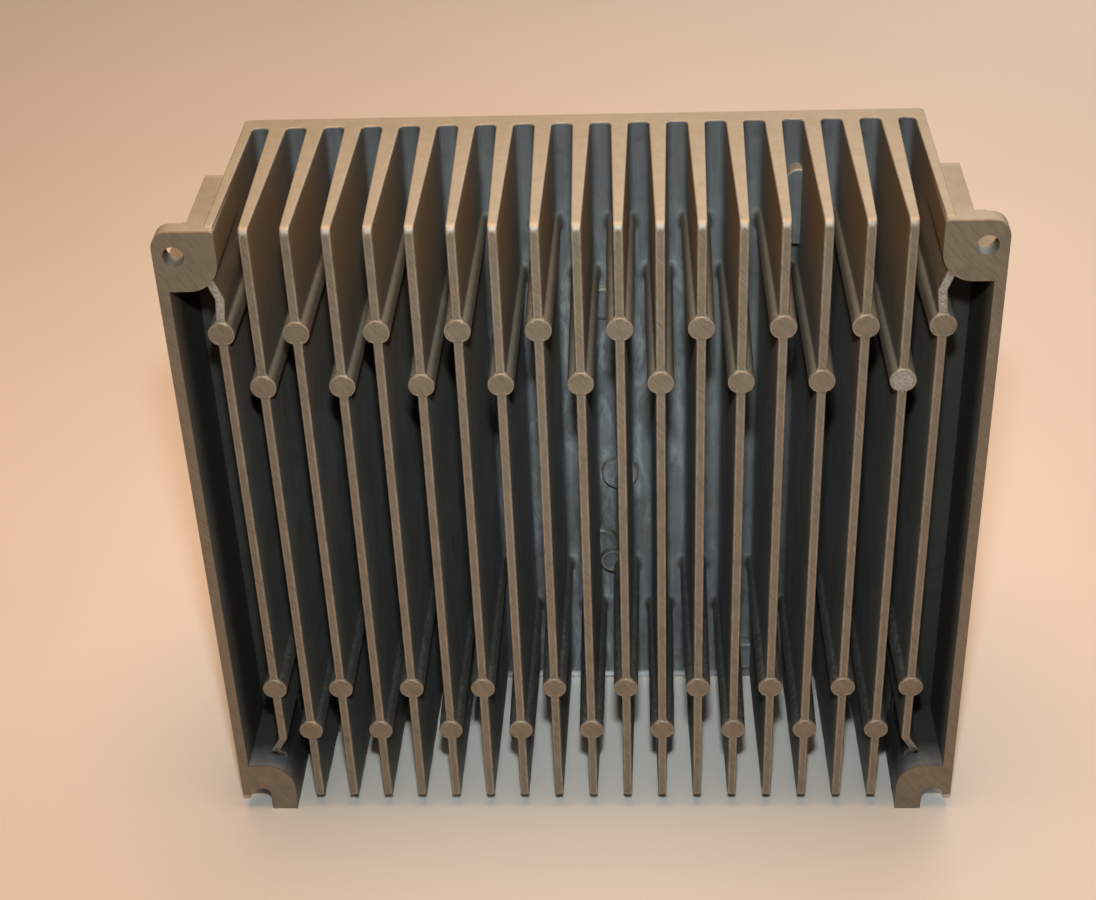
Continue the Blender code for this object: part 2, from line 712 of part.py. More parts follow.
def dc_inlets():
    """Panel inlets for the two leads from the solar panel, each with its seal, nut and contact."""
    top = -SEAL_STACK
    barrel = (
        (7.4, top - 26.0), (7.4, top - 18.0), (8.6, top - 17.0),
        (8.6, top - 13.0), (7.4, top - 12.0), (7.4, top - 4.0),
    )
    pin = ((1.5, top - 15.0), (2.0, top - 14.0), (2.0, TRAY_WALL + 12.0))
    for name, x in DC_PLACES.items():
        shank = turned(((DC_SHANK, top - 1.0), (DC_SHANK, TRAY_WALL + 8.0)), 16)
        flange = prism(hexagon((0.0, 0.0), 18.0), top - 5.0, top)
        socket = turned(((5.8, top - 27.0), (5.8, top - 2.0)), 16)
        bore = turned(((2.6, top - 3.0), (2.6, TRAY_WALL + 9.0)), 12)
        lumps = [flange, shank, turned(barrel, 16)]
        add_solid(name, lumps, black_plastic(), [socket, bore], under_tray(x))
        add_seal(name + "_seal", x, DC_SHANK, 8.6)
        add_nut(name + "_nut", x, DC_SHANK, 17.0)
        add_object(name + "_contact", turned(pin, 10), contact_silver(), under_tray(x), smooth=True)


def ac_inlet():
    """Round mains inlet: shell, seal, nut and three contacts in its insulator."""
    top = -SEAL_STACK
    contact_places = circle((0.0, 0.0), AC_CONTACT_CIRCLE, 3)
    shank = turned(((AC_SHANK, top - 1.0), (AC_SHANK, TRAY_WALL + 8.0)), 20)
    flange = turned(((12.6, top - 4.0), (12.6, top)), 20)
    barrel = turned(((10.2, top - 26.0), (10.8, top - 25.0), (10.8, top - 3.0)), 20)
    socket = turned(((8.6, top - 27.0), (8.6, top - 6.0)), 20)
    bore = ((AC_CONTACT + GAP, top - 7.0), (AC_CONTACT + GAP, TRAY_WALL + 9.0))
    bores = [turned(bore, 10, "Z", place) for place in contact_places]
    lumps = [flange, shank, barrel]
    add_solid("ac_inlet", lumps, black_plastic(), [socket] + bores, under_tray(AC_PLACE))
    add_seal("ac_inlet_seal", AC_PLACE, AC_SHANK, 12.0)
    add_nut("ac_inlet_nut", AC_PLACE, AC_SHANK, 24.0)
    pin = ((AC_CONTACT - 0.6, top - 16.0), (AC_CONTACT, top - 15.0), (AC_CONTACT, TRAY_WALL + 11.0))
    for number, centre in enumerate(contact_places, 1):
        mesh = turned(pin, 10, "Z", centre)
        name = f"ac_inlet_contact_{number}"
        add_object(name, mesh, contact_silver(), under_tray(AC_PLACE), smooth=True)


def vent_plug():
    """A breather plug that lets the sealed tray equalise its pressure."""
    head = prism(hexagon((0.0, 0.0), 15.0), -GAP - 5.0, -GAP)
    cap = turned(((5.0, -GAP - 7.0), (6.2, -GAP - 6.0), (6.2, -GAP - 4.0)), 16)
    shank = turned(((VENT_SHANK, -GAP - 1.0), (VENT_SHANK, TRAY_WALL + 3.0)), 16)
    bore = turned(((1.5, -2.0), (1.5, TRAY_WALL + 4.0)), 8)
    add_solid("vent_plug", [head, cap, shank], black_plastic(), [bore], under_tray(VENT_PLACE))


# ---------------------------------------------------------------- electronics

def circuit_board():
    outline = rounded_box((-BOARD_HALF, BOARD_LOW), (BOARD_HALF, BOARD_TOP), 2.0, 2)
    board = prism(outline, BOARD_Y, BOARD_FACE_Y, "Y")
    holes = [
        through_hole(place, BOARD_SCREW_RADIUS + GAP, BOARD_Y - 1.0, BOARD_FACE_Y + 1.0)
        for place in BOARD_SCREWS
    ]
    add_solid("circuit_board", [board], board_laminate(), holes)


def on_board(x, z):
    """The place of a component that stands on the board."""
    return (x, BOARD_FACE_Y + GAP, z)


def transformers():
    """Two ferrite transformers. Each core is a figure of eight with the winding on its middle leg."""
    for number, x in enumerate((-52.0, -8.0), 1):
        place = on_board(x, 146.0)
        core = box((-17.0, 5.0, -16.0), (17.0, 17.0, 16.0))
        windows = [box((left, 4.0, -10.0), (left + 7.0, 18.0, 10.0)) for left in (-12.0, 5.0)]
        add_solid(f"transformer_core_{number}", [core], ferrite(), windows, place)
        winding = prism(rounded_box((-11.6, 0.0), (11.6, 22.0), 4.0, 2), -9.5, 9.5)
        leg_room = box((-5.4, 4.6, -10.5), (5.4, 17.4, 10.5))
        add_solid(f"transformer_winding_{number}", [winding], winding_tape(), [leg_room], place)


def input_capacitors():
    """Four upright electrolytic capacitors, with the rolled groove near the board."""
    profile = (
        (8.4, 0.0), (9.0, 0.8), (9.0, 3.0), (8.4, 3.8), (9.0, 4.6), (9.0, 21.2), (8.2, 22.0),
    )
    for number in range(4):
        can = turned(profile, 14, "Y")
        place = on_board(-66.0 + 22.0 * number, 112.0)
        add_object(f"input_capacitor_{number + 1}", can, capacitor_sleeve(), place, smooth=True)


def power_transistors():
    """Flat power transistors that give their heat to the base plate, with legs bent up beside the board."""
    for number, x in enumerate(TRANSISTOR_X, 1):
        body = box((-7.8, 0.0, -6.0), (7.8, TRANSISTOR_THICKNESS, 12.0))
        legs = []
        for leg_x in (-5.0, 0.0, 5.0):
            legs.append(box((leg_x - 0.6, 2.0, -12.0), (leg_x + 0.6, 2.8, -5.0)))
            legs.append(box((leg_x - 0.6, 2.0, -12.0), (leg_x + 0.6, 10.0, -11.2)))
        place = (x, TRANSISTOR_Y, TRANSISTOR_Z)
        add_solid(f"power_transistor_{number}", [body] + legs, black_plastic(), place=place)


def thermal_pad():
    """An insulating pad under all the transistors, cut away round the clamp's posts."""
    outline = rounded_box((-68.0, 175.0), (68.0, 195.0), 1.5, 1)
    pad = prism(outline, TRAY_Y + GAP, TRAY_Y + GAP + PAD_THICKNESS, "Y")
    holes = [through_hole(place, CLAMP_POST + GAP, TRAY_Y - 1.0, TRAY_Y + 3.0) for place in CLAMP_SCREWS]
    add_solid("thermal_pad", [pad], thermal_pad_grey(), holes)


def clamp_bar():
    """A steel bar that presses the transistors down."""
    top = CLAMP_Y + CLAMP_THICKNESS
    bar = box((-66.0, CLAMP_Y, TRANSISTOR_Z - 5.0), (66.0, top, TRANSISTOR_Z + 5.0))
    radius = BOARD_SCREW_RADIUS + GAP
    holes = [through_hole(place, radius, CLAMP_Y - 1.0, top + 1.0) for place in CLAMP_SCREWS]
    add_solid("clamp_bar", [bar], zinc_steel(), holes)


def common_mode_choke():
    """A ferrite ring with two windings, each a sleeve of wire round part of the ring."""
    place = on_board(58.0, 144.0)
    inner, outer, low, high = 6.5, 12.0, 3.0, 13.0
    section = ((inner, low), (outer, low), (outer, high), (inner, high))
    core = swept_ring(section, 24)
    bmesh.ops.rotate(core, cent=(0, 0, 0), matrix=turn_to_y(), verts=core.verts)
    add_object("choke_core", core, ferrite(), place, smooth=True)
    for number, start in enumerate((20.0, 200.0), 1):
        sleeve = arc_block(inner - 2.3, outer + 2.3, low - 2.3, high + 2.3, start, start + 140.0)
        room = arc_block(inner - GAP, outer + GAP, low - GAP, high + GAP, start - 5.0, start + 145.0)
        for mesh in (sleeve, room):
            bmesh.ops.rotate(mesh, cent=(0, 0, 0), matrix=turn_to_y(), verts=mesh.verts)
        add_solid(f"choke_winding_{number}", [sleeve], copper_wire(), [room], place)


def arc_block(inner, outer, low, high, start, end):
    """Part of a ring about Z, between two angles in degrees."""
    outline = arc((0.0, 0.0), outer, start, end, 8) + arc((0.0, 0.0), inner, end, start, 8)
    return prism(outline, low, high)


def boxed_component(name, size, place, finish, corner=1.0):
    """A moulded box that stands on the board: size is width, height off the board, and length."""
    width, tall, length = size
    outline = rounded_box((-width / 2, -length / 2), (width / 2, length / 2), corner, 2)
    add_object(name, prism(outline, 0.0, tall, "Y"), finish, on_board(*place))


def small_components():
    boxed_component("film_capacitor", (10.0, 16.0, 26.0), (24.0, 112.0), film_box())
    boxed_component("grid_relay", (20.0, 15.0, 28.0), (44.0, 112.0), grey_plastic())
    half_fuse = ((2.6, 5.8), (2.9, 6.0), (2.9, 10.6), (2.4, 11.0))
    fuse = [(radius, -along) for radius, along in reversed(half_fuse)] + list(half_fuse)
    x, y, z = on_board(64.0, 112.0)
    add_object("output_fuse", turned(fuse, 12), contact_silver(), (x, y + 3.2, z), smooth=True)
    disc = ((6.6, -2.2), (7.2, -1.4), (7.2, 1.4), (6.6, 2.2))
    x, y, z = on_board(54.0, 84.0)
    varistor = turned(disc, 16, "X")
    add_object("surge_varistor", varistor, varistor_coat(), (x, y + 7.6, z), smooth=True)


def control_module():
    """A small upright board with the processor and the communication chip."""
    board = box((-16.0, 0.0, -0.8), (16.0, 19.0, 0.8))
    chips = [box((-11.0, 5.0, 0.4), (-1.0, 15.0, 2.2)), box((4.0, 6.0, 0.4), (12.0, 12.0, 2.6))]
    header = box((-13.0, 0.0, -3.0), (13.0, 3.0, 0.0))
    add_solid("control_module", [board, header] + chips, board_laminate(), place=on_board(-20.0, 84.0))


def build():
    for old in list(bpy.data.objects):
        bpy.data.objects.remove(old)
    heatsink_casting()
    rear_lid()
    lid_gasket()
    rating_plate()
    status_lens()
    all_screws()
    dc_inlets()
    ac_inlet()
    vent_plug()
    circuit_board()
    transformers()
    input_capacitors()
    power_transistors()
    thermal_pad()
    clamp_bar()
    common_mode_choke()
    small_components()
    control_module()


build()
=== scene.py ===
"""Looks for a micro inverter with a die-cast finned housing.

The housing is modelled again here with rounded edges and the fillets of a die casting, and stands for
the plain CAD casting. Screws, connectors and the lid get finer shapes too. Lengths are in millimetres
until a mesh is finished, in the CAD's frame: fins face -Y, the lid faces +Y, +Z is up.
"""

import json
from math import atan2, cos, pi, radians, sin, sqrt

import bmesh
import bpy
from mathutils import Matrix, Vector

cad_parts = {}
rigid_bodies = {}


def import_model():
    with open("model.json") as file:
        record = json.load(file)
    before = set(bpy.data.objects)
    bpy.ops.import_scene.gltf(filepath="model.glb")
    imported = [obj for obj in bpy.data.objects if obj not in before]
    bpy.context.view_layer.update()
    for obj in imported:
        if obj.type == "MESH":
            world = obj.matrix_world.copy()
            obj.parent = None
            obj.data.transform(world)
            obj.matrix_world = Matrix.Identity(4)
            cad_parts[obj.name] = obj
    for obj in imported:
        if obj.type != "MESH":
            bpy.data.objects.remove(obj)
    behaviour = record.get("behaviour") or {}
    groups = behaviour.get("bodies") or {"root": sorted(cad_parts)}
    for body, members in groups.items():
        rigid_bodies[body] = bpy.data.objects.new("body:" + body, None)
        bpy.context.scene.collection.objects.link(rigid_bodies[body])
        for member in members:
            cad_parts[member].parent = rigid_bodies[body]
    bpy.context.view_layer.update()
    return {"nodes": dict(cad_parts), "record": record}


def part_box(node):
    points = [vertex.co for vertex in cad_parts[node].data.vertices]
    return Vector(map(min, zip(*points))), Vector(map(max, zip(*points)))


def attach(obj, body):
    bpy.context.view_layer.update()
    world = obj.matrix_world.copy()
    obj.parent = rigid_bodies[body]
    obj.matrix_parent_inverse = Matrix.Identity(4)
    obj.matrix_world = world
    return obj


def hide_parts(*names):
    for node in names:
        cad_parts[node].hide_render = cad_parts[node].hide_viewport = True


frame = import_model()

MM = 0.001
BODY = "root"

# Places read from the CAD model
CASTING_LOW, CASTING_HIGH = (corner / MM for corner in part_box("heatsink_casting"))
FRONT_Y = CASTING_LOW.y
RIM_Y = CASTING_HIGH.y
HEIGHT = CASTING_HIGH.z
EAR_OUT = CASTING_HIGH.x
BACK_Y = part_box("rear_lid")[1].y / MM

# Fins
PITCH = 12.0
FIN_COUNT = 19
LAST = FIN_COUNT - 1
FIN_DEPTH = 69.6
FIN_TIP = 2.8
FIN_ROOT = 5.5
END_FIN_ROOT = 3.4
FIN_LOW = 5.4
FIN_SETBACK = 0.5
TIP_ROUND = 0.6               # rounding along the front edges
TOP_CORNER = 2.5              # rounding of a fin's upper front corner
BOTTOM_CORNER = 1.6
ROOT_RADIUS = 2.2
EDGE = 0.5                    # rounding of other cast edges
OVERLAP = 1.0                 # how far lumps reach into one another, and cuts past what they cut
GAP = 0.3                     # between neighbouring pieces
PLATE_THICKNESS = 6.0
PLATE_HALF = 107.4
PLATE_CORNER = 0.8            # rounding of the base plate's rear corners
LOW_ROUND = 1.0               # rounding of the base plate's lower edge
SLOT_FLAT = 0.08              # half of the flat left on the floor of a slot
SMALLEST_ROUND = 0.12
PLATE_Y = FRONT_Y + FIN_DEPTH
TRAY_Y = PLATE_Y + PLATE_THICKNESS

# Ejector pin columns: (height, first fin), every other fin from there
PIN_ROWS = ((36.6, 1), (55.3, 0), (175.6, 1), (194.4, 0))
PIN_TIP, PIN_ROOT = 4.0, 4.7
PIN_ROUND = 0.3
PIN_FILLET = 1.3              # where a pin joins its fin
FILLET_STEPS = 4
PIN_ARC = 16
PIN_GAP = radians(5.0)   # between a fillet and the first point of the pin's own arc
PIN_REACH = 5.0               # half the height that a pin's rows take up
PIN_LAST = 2 * FILLET_STEPS + PIN_ARC + 2
RIM_GAP = 0.05                # between a fin's flat face and the rim of its pin

# End fins: height, distance of the front edge from the middle, setback
END_COURSE = (
    (0.0, 107.5, 12.0), (19.8, 109.4, 7.0), (25.6, 110.0, 2.0), (32.2, 106.3, 0.5),
    (55.0, 106.4, 0.5), (196.0, 106.4, 0.5), (206.0, 105.4, 0.5), (212.5, 107.9, 0.5), (229.0, 106.4, 1.5),
)

FLANK_STEPS = 6
ROOT_STEPS = 5
ROUND_STEPS = 3


# ---- small geometry

def arc(centre, radius, start, end, steps):
    angles = (radians(start + (end - start) * i / steps) for i in range(steps + 1))
    return [(centre[0] + radius * cos(a), centre[1] + radius * sin(a)) for a in angles]


def circle(centre, radius, sides):
    return arc(centre, radius, 0.0, 360.0, sides)[:-1]


def mix(a, b, t):
    return a + (b - a) * t


def quarter_round(radius, steps):
    """Points round an edge, as how far each stands in from one face and from the other."""
    angles = [pi / 2 * step / steps for step in range(steps + 1)]
    return [(radius * (1 - sin(a)), radius * (1 - cos(a))) for a in angles]


def place_point(axis, across, along):
    if axis == "X":
        return (along, across[0], across[1])
    if axis == "Y":
        return (across[0], along, across[1])
    return (across[0], across[1], along)


def rounded_box(low, high, radius, steps):
    left, bottom = low[0] + radius, low[1] + radius
    right, top = high[0] - radius, high[1] - radius
    points = []
    for x, y, start in ((right, top, 0), (left, top, 90), (left, bottom, 180), (right, bottom, 270)):
        points += arc((x, y), radius, start, start + 90, steps)
    return points


def hexagon(across_flats):
    return circle((0.0, 0.0), across_flats / sqrt(3), 6)


# ---- meshes, in millimetres

def loft(rings, ends=True):
    """A closed mesh through rings that have the same number of points. Without ends it closes on itself."""
    mesh = bmesh.new()
    made = [[mesh.verts.new(point) for point in ring] for ring in rings]
    pairs = list(zip(made, made[1:])) if ends else list(zip(made, made[1:] + made[:1]))
    for first, second in pairs:
        for i in range(len(first)):
            j = (i + 1) % len(first)
            mesh.faces.new((first[i], first[j], second[j], second[i]))
    if ends:
        mesh.faces.new(made[0][::-1])
        mesh.faces.new(made[-1])
    return mesh


def prism(outline, start, end, axis="Y"):
    return loft([[place_point(axis, p, along) for p in outline] for along in (start, end)])


def turned(profile, sides, axis="Y", centre=(0.0, 0.0), ends=True):
    """A solid turned from (radius, place along the axis) points."""
    rings = []
    for radius, along in profile:
        rings.append([place_point(axis, point, along) for point in circle(centre, radius, sides)])
    return loft(rings, ends)


def rod(radius, start, end, sides, axis="Y", centre=(0.0, 0.0)):
    return turned(((radius, start), (radius, end)), sides, axis, centre)


def box(low, high):
    outline = [(low[0], low[1]), (high[0], low[1]), (high[0], high[1]), (low[0], high[1])]
    return prism(outline, low[2], high[2], "Z")


# ---- objects, in metres

def link(made):
    bpy.context.scene.collection.objects.link(made)
    return made


def make_object(name, mesh, place=(0.0, 0.0, 0.0)):
    """An object in metres from a bmesh in millimetres."""
    bmesh.ops.recalc_face_normals(mesh, faces=mesh.faces)
    bmesh.ops.scale(mesh, vec=(MM, MM, MM), verts=mesh.verts)
    data = bpy.data.meshes.new(name)
    mesh.to_mesh(data)
    mesh.free()
    made = bpy.data.objects.new(name, data)
    made.location = Vector(place) * MM
    return link(made)


def discard(made):
    data = made.data
    bpy.data.objects.remove(made)
    bpy.data.meshes.remove(data)


def apply_modifiers(made):
    graph = bpy.context.evaluated_depsgraph_get()
    data = bpy.data.meshes.new_from_object(made.evaluated_get(graph))
    old = made.data
    made.modifiers.clear()
    made.data = data
    bpy.data.meshes.remove(old)


def apply_boolean(made, meshes, operation):
    """One Boolean with all the meshes at once."""
    if not meshes:
        return
    group = bpy.data.collections.new("operands")
    bpy.context.scene.collection.children.link(group)
    for mesh in meshes:
        other = make_object("operand", mesh)
        bpy.context.scene.collection.objects.unlink(other)
        group.objects.link(other)
    modifier = made.modifiers.new("boolean", "BOOLEAN")
    modifier.operation = operation
    modifier.solver = "EXACT"
    modifier.operand_type = "COLLECTION"
    modifier.collection = group
    apply_modifiers(made)
    for other in list(group.objects):
        discard(other)
    bpy.data.collections.remove(group)


def merge_flat_faces(made):
    """Merges what a Boolean left coincident and joins faces that lie in one plane."""
    mesh = bmesh.new()
    mesh.from_mesh(made.data)
    bmesh.ops.remove_doubles(mesh, verts=mesh.verts, dist=0.01 * MM)
    bmesh.ops.dissolve_limit(mesh, angle_limit=radians(1.0), verts=mesh.verts, edges=mesh.edges)
    mesh.to_mesh(made.data)
    mesh.free()


def solid(name, lumps, cuts, bevel, segments=2):
    """One object: the lumps joined, the cuts taken out, then every edge rounded by the bevel."""
    made = make_object(name, lumps[0])
    apply_boolean(made, lumps[1:], "UNION")
    apply_boolean(made, cuts, "DIFFERENCE")
    merge_flat_faces(made)
    modifier = made.modifiers.new("rounding", "BEVEL")
    modifier.width = bevel * MM
    modifier.segments = segments
    modifier.limit_method = "ANGLE"
    modifier.angle_limit = radians(40.0)
    modifier.miter_outer = "MITER_ARC"
    apply_modifiers(made)
    return made


def gather(name, parts):
    """One object out of several closed shells."""
    mesh = bmesh.new()
    for part in parts:
        mesh.from_mesh(part.data)
    data = bpy.data.meshes.new(name)
    mesh.to_mesh(data)
    mesh.free()
    for part in parts:
        discard(part)
    return link(bpy.data.objects.new(name, data))


WEAR = "rounded_edge"
WIDEST_ROUND = 0.75


def mark_rounded_edges(data):
    """Gives each face 1 where it is a narrow strip that rounds an outer edge, for wear and painted edge
    highlights to show on.
    """
    mesh = bmesh.new()
    mesh.from_mesh(data)
    values = []
    for face in mesh.faces:
        longest = max(edge.calc_length() for edge in face.edges)
        long_edges = [edge for edge in face.edges if edge.calc_length() > 0.4 * longest]
        folds = sum(edge.calc_face_angle_signed(0.0) > radians(8.0) for edge in long_edges)
        narrow = face.calc_area() / longest < WIDEST_ROUND * MM
        values.append(1.0 if folds > 1 and narrow else 0.0)
    mesh.free()
    layer = data.attributes.new(WEAR, "FLOAT", "FACE")
    layer.data.foreach_set("value", values)


def smooth(made, angle=40.0):
    """Smooth shading in which large flat faces stay flat."""
    made.data.shade_smooth()
    made.data.set_sharp_from_angle(angle=radians(angle))
    mark_rounded_edges(made.data)
    modifier = made.modifiers.new("normals", "WEIGHTED_NORMAL")
    modifier.keep_sharp = True
    apply_modifiers(made)
    return made


def stand_for(made, slot, *nodes):
    """Lets a finished piece take the place of CAD nodes."""
    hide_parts(*nodes)
    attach(made, BODY)
    made.data.materials.clear()
    made.data.materials.append(FINISHES[slot])


# ---- finned body

def has_pin(fin, row):
    return row["pin"] is not None and fin % 2 == PIN_ROWS[row["pin"]][1]


def course(z):
    """Distance from the middle and setback of an end fin's front edge."""
    for (z0, x0, s0), (z1, x1, s1) in zip(END_COURSE, END_COURSE[1:]):
        if z <= z1:
            t = (z - z0) / (z1 - z0)
            return mix(x0, x1, t), mix(s0, s1, t)
    return END_COURSE[-1][1:]


def fin_centre(fin, z, depth):
    if 0 < fin < LAST:
        return (fin - LAST / 2) * PITCH
    side = -1 if fin == 0 else 1
    back = PLATE_HALF - END_FIN_ROOT / 2
    return side * mix(course(z)[0], back, min(depth / FIN_DEPTH, 1.0))


def half_thickness(fin, depth):
    root = END_FIN_ROOT if fin in (0, LAST) else FIN_ROOT
    return mix(FIN_TIP, root, min(depth / FIN_DEPTH, 1.0)) / 2


def pin_radius(depth):
    return mix(PIN_TIP, PIN_ROOT, min(depth / FIN_DEPTH, 1.0))


def pin_angle(radius, half, k):
    """Direction in which point k of a pin's outline lies, from 0 at the level of its middle."""
    reach = half + PIN_FILLET
    theta = atan2(sqrt((radius + PIN_FILLET) ** 2 - reach ** 2), reach)
    return (theta - PIN_GAP) * (1 - 2 * (k - FILLET_STEPS - 1) / PIN_ARC)


def pin_point(radius, half, k):
    """Point k of a pin and its fillets: distance from the fin's middle, height over the pin's middle."""
    if k > PIN_LAST / 2:
        x, z = pin_point(radius, half, PIN_LAST - k)
        return x, -z
    if k <= FILLET_STEPS:
        reach = half + PIN_FILLET
        rise = sqrt((radius + PIN_FILLET) ** 2 - reach ** 2)
        a = pi + atan2(rise, reach) * k / FILLET_STEPS
        return reach + PIN_FILLET * cos(a), rise + PIN_FILLET * sin(a)
    a = pin_angle(radius, half, k)
    return radius * cos(a), radius * sin(a)


def on_pin_face(k):
    return FILLET_STEPS < k < PIN_LAST - FILLET_STEPS


def wall_point(fin, row, depth):
    """Half width of a fin with its pin, and the height, at one depth."""
    half = half_thickness(fin, depth)
    if not has_pin(fin, row):
        return half, row["z"]
    x, dz = pin_point(pin_radius(depth), half, row["k"])
    return x, PIN_ROWS[row["pin"]][0] + dz


# What a row of points says unless it is told otherwise: its pin and point k of the pin's outline, how far
# the whole section and the fins alone stand in, how far the fins' corners stand back, how much of the
# rounding at the fins' roots there is (0 to 1), and whether there are fins.
PLAIN_ROW = {"pin": None, "k": 0, "inset": 0.0, "fin_inset": 0.0, "corner": 0.0, "rise": 1.0, "fins": True}


def body_rows():
    """Heights at which the body's section is drawn, from the underside to the top."""
    rows = []

    def add(z, **more):
        rows.append({**PLAIN_ROW, "z": z, **more})

    for z, inset in quarter_round(LOW_ROUND, 4):
        add(z, inset=inset, fins=False, rise=0.0)
    for below, rise in ((2.2, 0.0), (1.3, 0.06), (0.6, 0.3)):
        add(FIN_LOW - below, fins=False, rise=rise)
    for z, inset in quarter_round(EDGE, 3):
        add(FIN_LOW + z, fin_inset=inset, corner=corner_setback(z, BOTTOM_CORNER))
        add(HEIGHT - z, inset=inset, corner=corner_setback(z, TOP_CORNER))
    for z in (0.75, 1.1, 1.6):
        add(FIN_LOW + z, corner=corner_setback(z, BOTTOM_CORNER))
    for z in (0.75, 1.0, 1.4, 1.9):
        add(HEIGHT - z, corner=corner_setback(z, TOP_CORNER))
    for pin, (height, _) in enumerate(PIN_ROWS):
        for k in range(PIN_LAST + 1):
            add(height + pin_point(PIN_ROOT, FIN_ROOT / 2, k)[1], pin=pin, k=k)
    plain = [z for z, _, _ in END_COURSE[1:-1]] + [62.0 + 6.0 * i for i in range(19)]
    plain += [FIN_LOW + 3.0, 11.0, 15.0, 28.0, 30.2, 45.8]
    plain += [185.0, 201.0, 208.0, 210.5, 216.0, 221.0, HEIGHT - 2.5]
    for z in plain:
        if all(abs(z - height) >= PIN_REACH for height, _ in PIN_ROWS):
            add(z)
    rows.sort(key=lambda row: row["z"])
    return rows


def corner_setback(from_end, radius):
    """How far a fin's rounded front corner stands back, this near to the fin's end."""
    if from_end >= radius:
        return 0.0
    return radius - sqrt(radius ** 2 - (radius - from_end) ** 2)


def fin_columns(fin, row, side, root):
    """One side of a fin from the slot's floor to the middle of the tip: (x from its middle, depth, z)."""
    inset = row["inset"]
    fin_inset = inset + row["fin_inset"]
    points = []
    outer = (fin == 0 and side < 0) or (fin == LAST and side > 0)
    for j in range(ROOT_STEPS + 1):
        a = pi / 2 * (ROOT_STEPS - j) / ROOT_STEPS
        if outer:
            depth = FIN_DEPTH - root + (root + PLATE_THICKNESS - PLATE_CORNER) * (1 - j / ROOT_STEPS)
            width, z = wall_point(fin, row, depth)
            points.append((width - fin_inset, depth, z))
            continue
        depth = FIN_DEPTH - root + (root + inset) * sin(a)
        depth = mix(FIN_DEPTH + inset, depth, row["rise"])
        width, z = wall_point(fin, row, depth)
        own_inset = fin_inset if j == ROOT_STEPS else inset
        points.append((width + root - (root + own_inset) * cos(a), depth, z))
    if not row["fins"] and 0 < fin < LAST:
        return points
    proud = has_pin(fin, row) and on_pin_face(row["k"])
    rounding = PIN_ROUND if proud else TIP_ROUND
    setback = FIN_SETBACK if 0 < fin < LAST else course(row["z"])[1]
    front = (0.0 if proud else setback + row["corner"]) + fin_inset
    rounding = max(rounding - fin_inset, SMALLEST_ROUND)
    for step in range(1, FLANK_STEPS + 1):
        depth = mix(FIN_DEPTH - root, front + rounding, step / FLANK_STEPS)
        width, z = wall_point(fin, row, depth)
        points.append((width - fin_inset, depth, z))
    side_x, z = points[-1][0], points[-1][2]
    for back, inward in quarter_round(rounding, ROUND_STEPS)[1:]:
        points.append((side_x - inward, front + back, z))
    face = points[-1][0]
    points.append((face / 2, front, z))
    points.append((0.0, front, z))
    if has_pin(fin, row):
        first = len(points) - ROUND_STEPS - 2
        points[first:] = [bend_round_pin(point, row, front, proud, rounding) for point in points[first:]]
    return points


def bend_round_pin(point, row, front, proud, rounding):
    """Moves a point of the tip to where the round face of its pin wants it."""
    x, depth, z = point
    height = PIN_ROWS[row["pin"]][0]
    k = min(row["k"], PIN_LAST - row["k"])
    up = 1 if row["k"] <= PIN_LAST / 2 else -1
    radius = pin_radius(0.0)
    half = half_thickness(1, 0.0)
    if not proud:
        rise = pin_point(radius, half, 0)[1]
        foot = sqrt(max((radius + RIM_GAP) ** 2 - x ** 2, 0.0))
        return (x, depth, height + up * mix(rise, foot, k / FILLET_STEPS))
    a = pin_angle(radius, half, row["k"])
    lift = min(max((front + rounding - depth) / rounding, 0.0), 1.0)
    shrink = rounding * (1 - sqrt(max(1 - lift ** 2, 0.0)))
    here = radius - shrink
    fraction = x / max((radius - rounding) * cos(a), 1e-6) if depth <= front + 1e-6 else 1.0
    if k == FILLET_STEPS + 1:
        x = min(x, here * cos(a))
        return (x, depth, height + up * sqrt(here ** 2 - x ** 2))
    return (here * cos(a) * min(fraction, 1.0), depth, height + here * sin(a))


def draw_row(mesh, row):
    """Adds the points of one section: the middles of the slots' floors and both sides of every fin."""
    widths = [wall_point(fin, row, FIN_DEPTH)[0] for fin in range(FIN_COUNT)]
    middles = [fin_centre(fin, row["z"], FIN_DEPTH) for fin in range(FIN_COUNT)]
    slots = [None] * (FIN_COUNT + 1)
    roots = [ROOT_RADIUS] * (FIN_COUNT + 1)
    for slot in range(1, FIN_COUNT):
        left = middles[slot - 1] + widths[slot - 1]
        right = middles[slot] - widths[slot]
        roots[slot] = min(ROOT_RADIUS, (right - left) / 2 - SLOT_FLAT)
        slots[slot] = mesh.verts.new(((left + right) / 2, PLATE_Y + row["inset"], row["z"]))
    for slot, side in ((0, -1), (FIN_COUNT, 1)):
        edge = side * (PLATE_HALF - PLATE_CORNER - row["inset"])
        slots[slot] = mesh.verts.new((edge, TRAY_Y, row["z"]))
    strips = []
    for fin in range(FIN_COUNT):
        halves = []
        for side, root in ((-1, roots[fin]), (1, roots[fin + 1])):
            half = []
            for x, depth, z in fin_columns(fin, row, side, root):
                half.append((fin_centre(fin, row["z"], depth) + side * x, FRONT_Y + depth, z))
            halves.append(half)
        left = [mesh.verts.new(point) for point in halves[0]]
        shared = left[-1:] if len(left) > ROOT_STEPS + 1 else []
        right = [mesh.verts.new(point) for point in halves[1][:len(left) - len(shared)]] + shared
        strips.append((left, right))
    return slots, strips


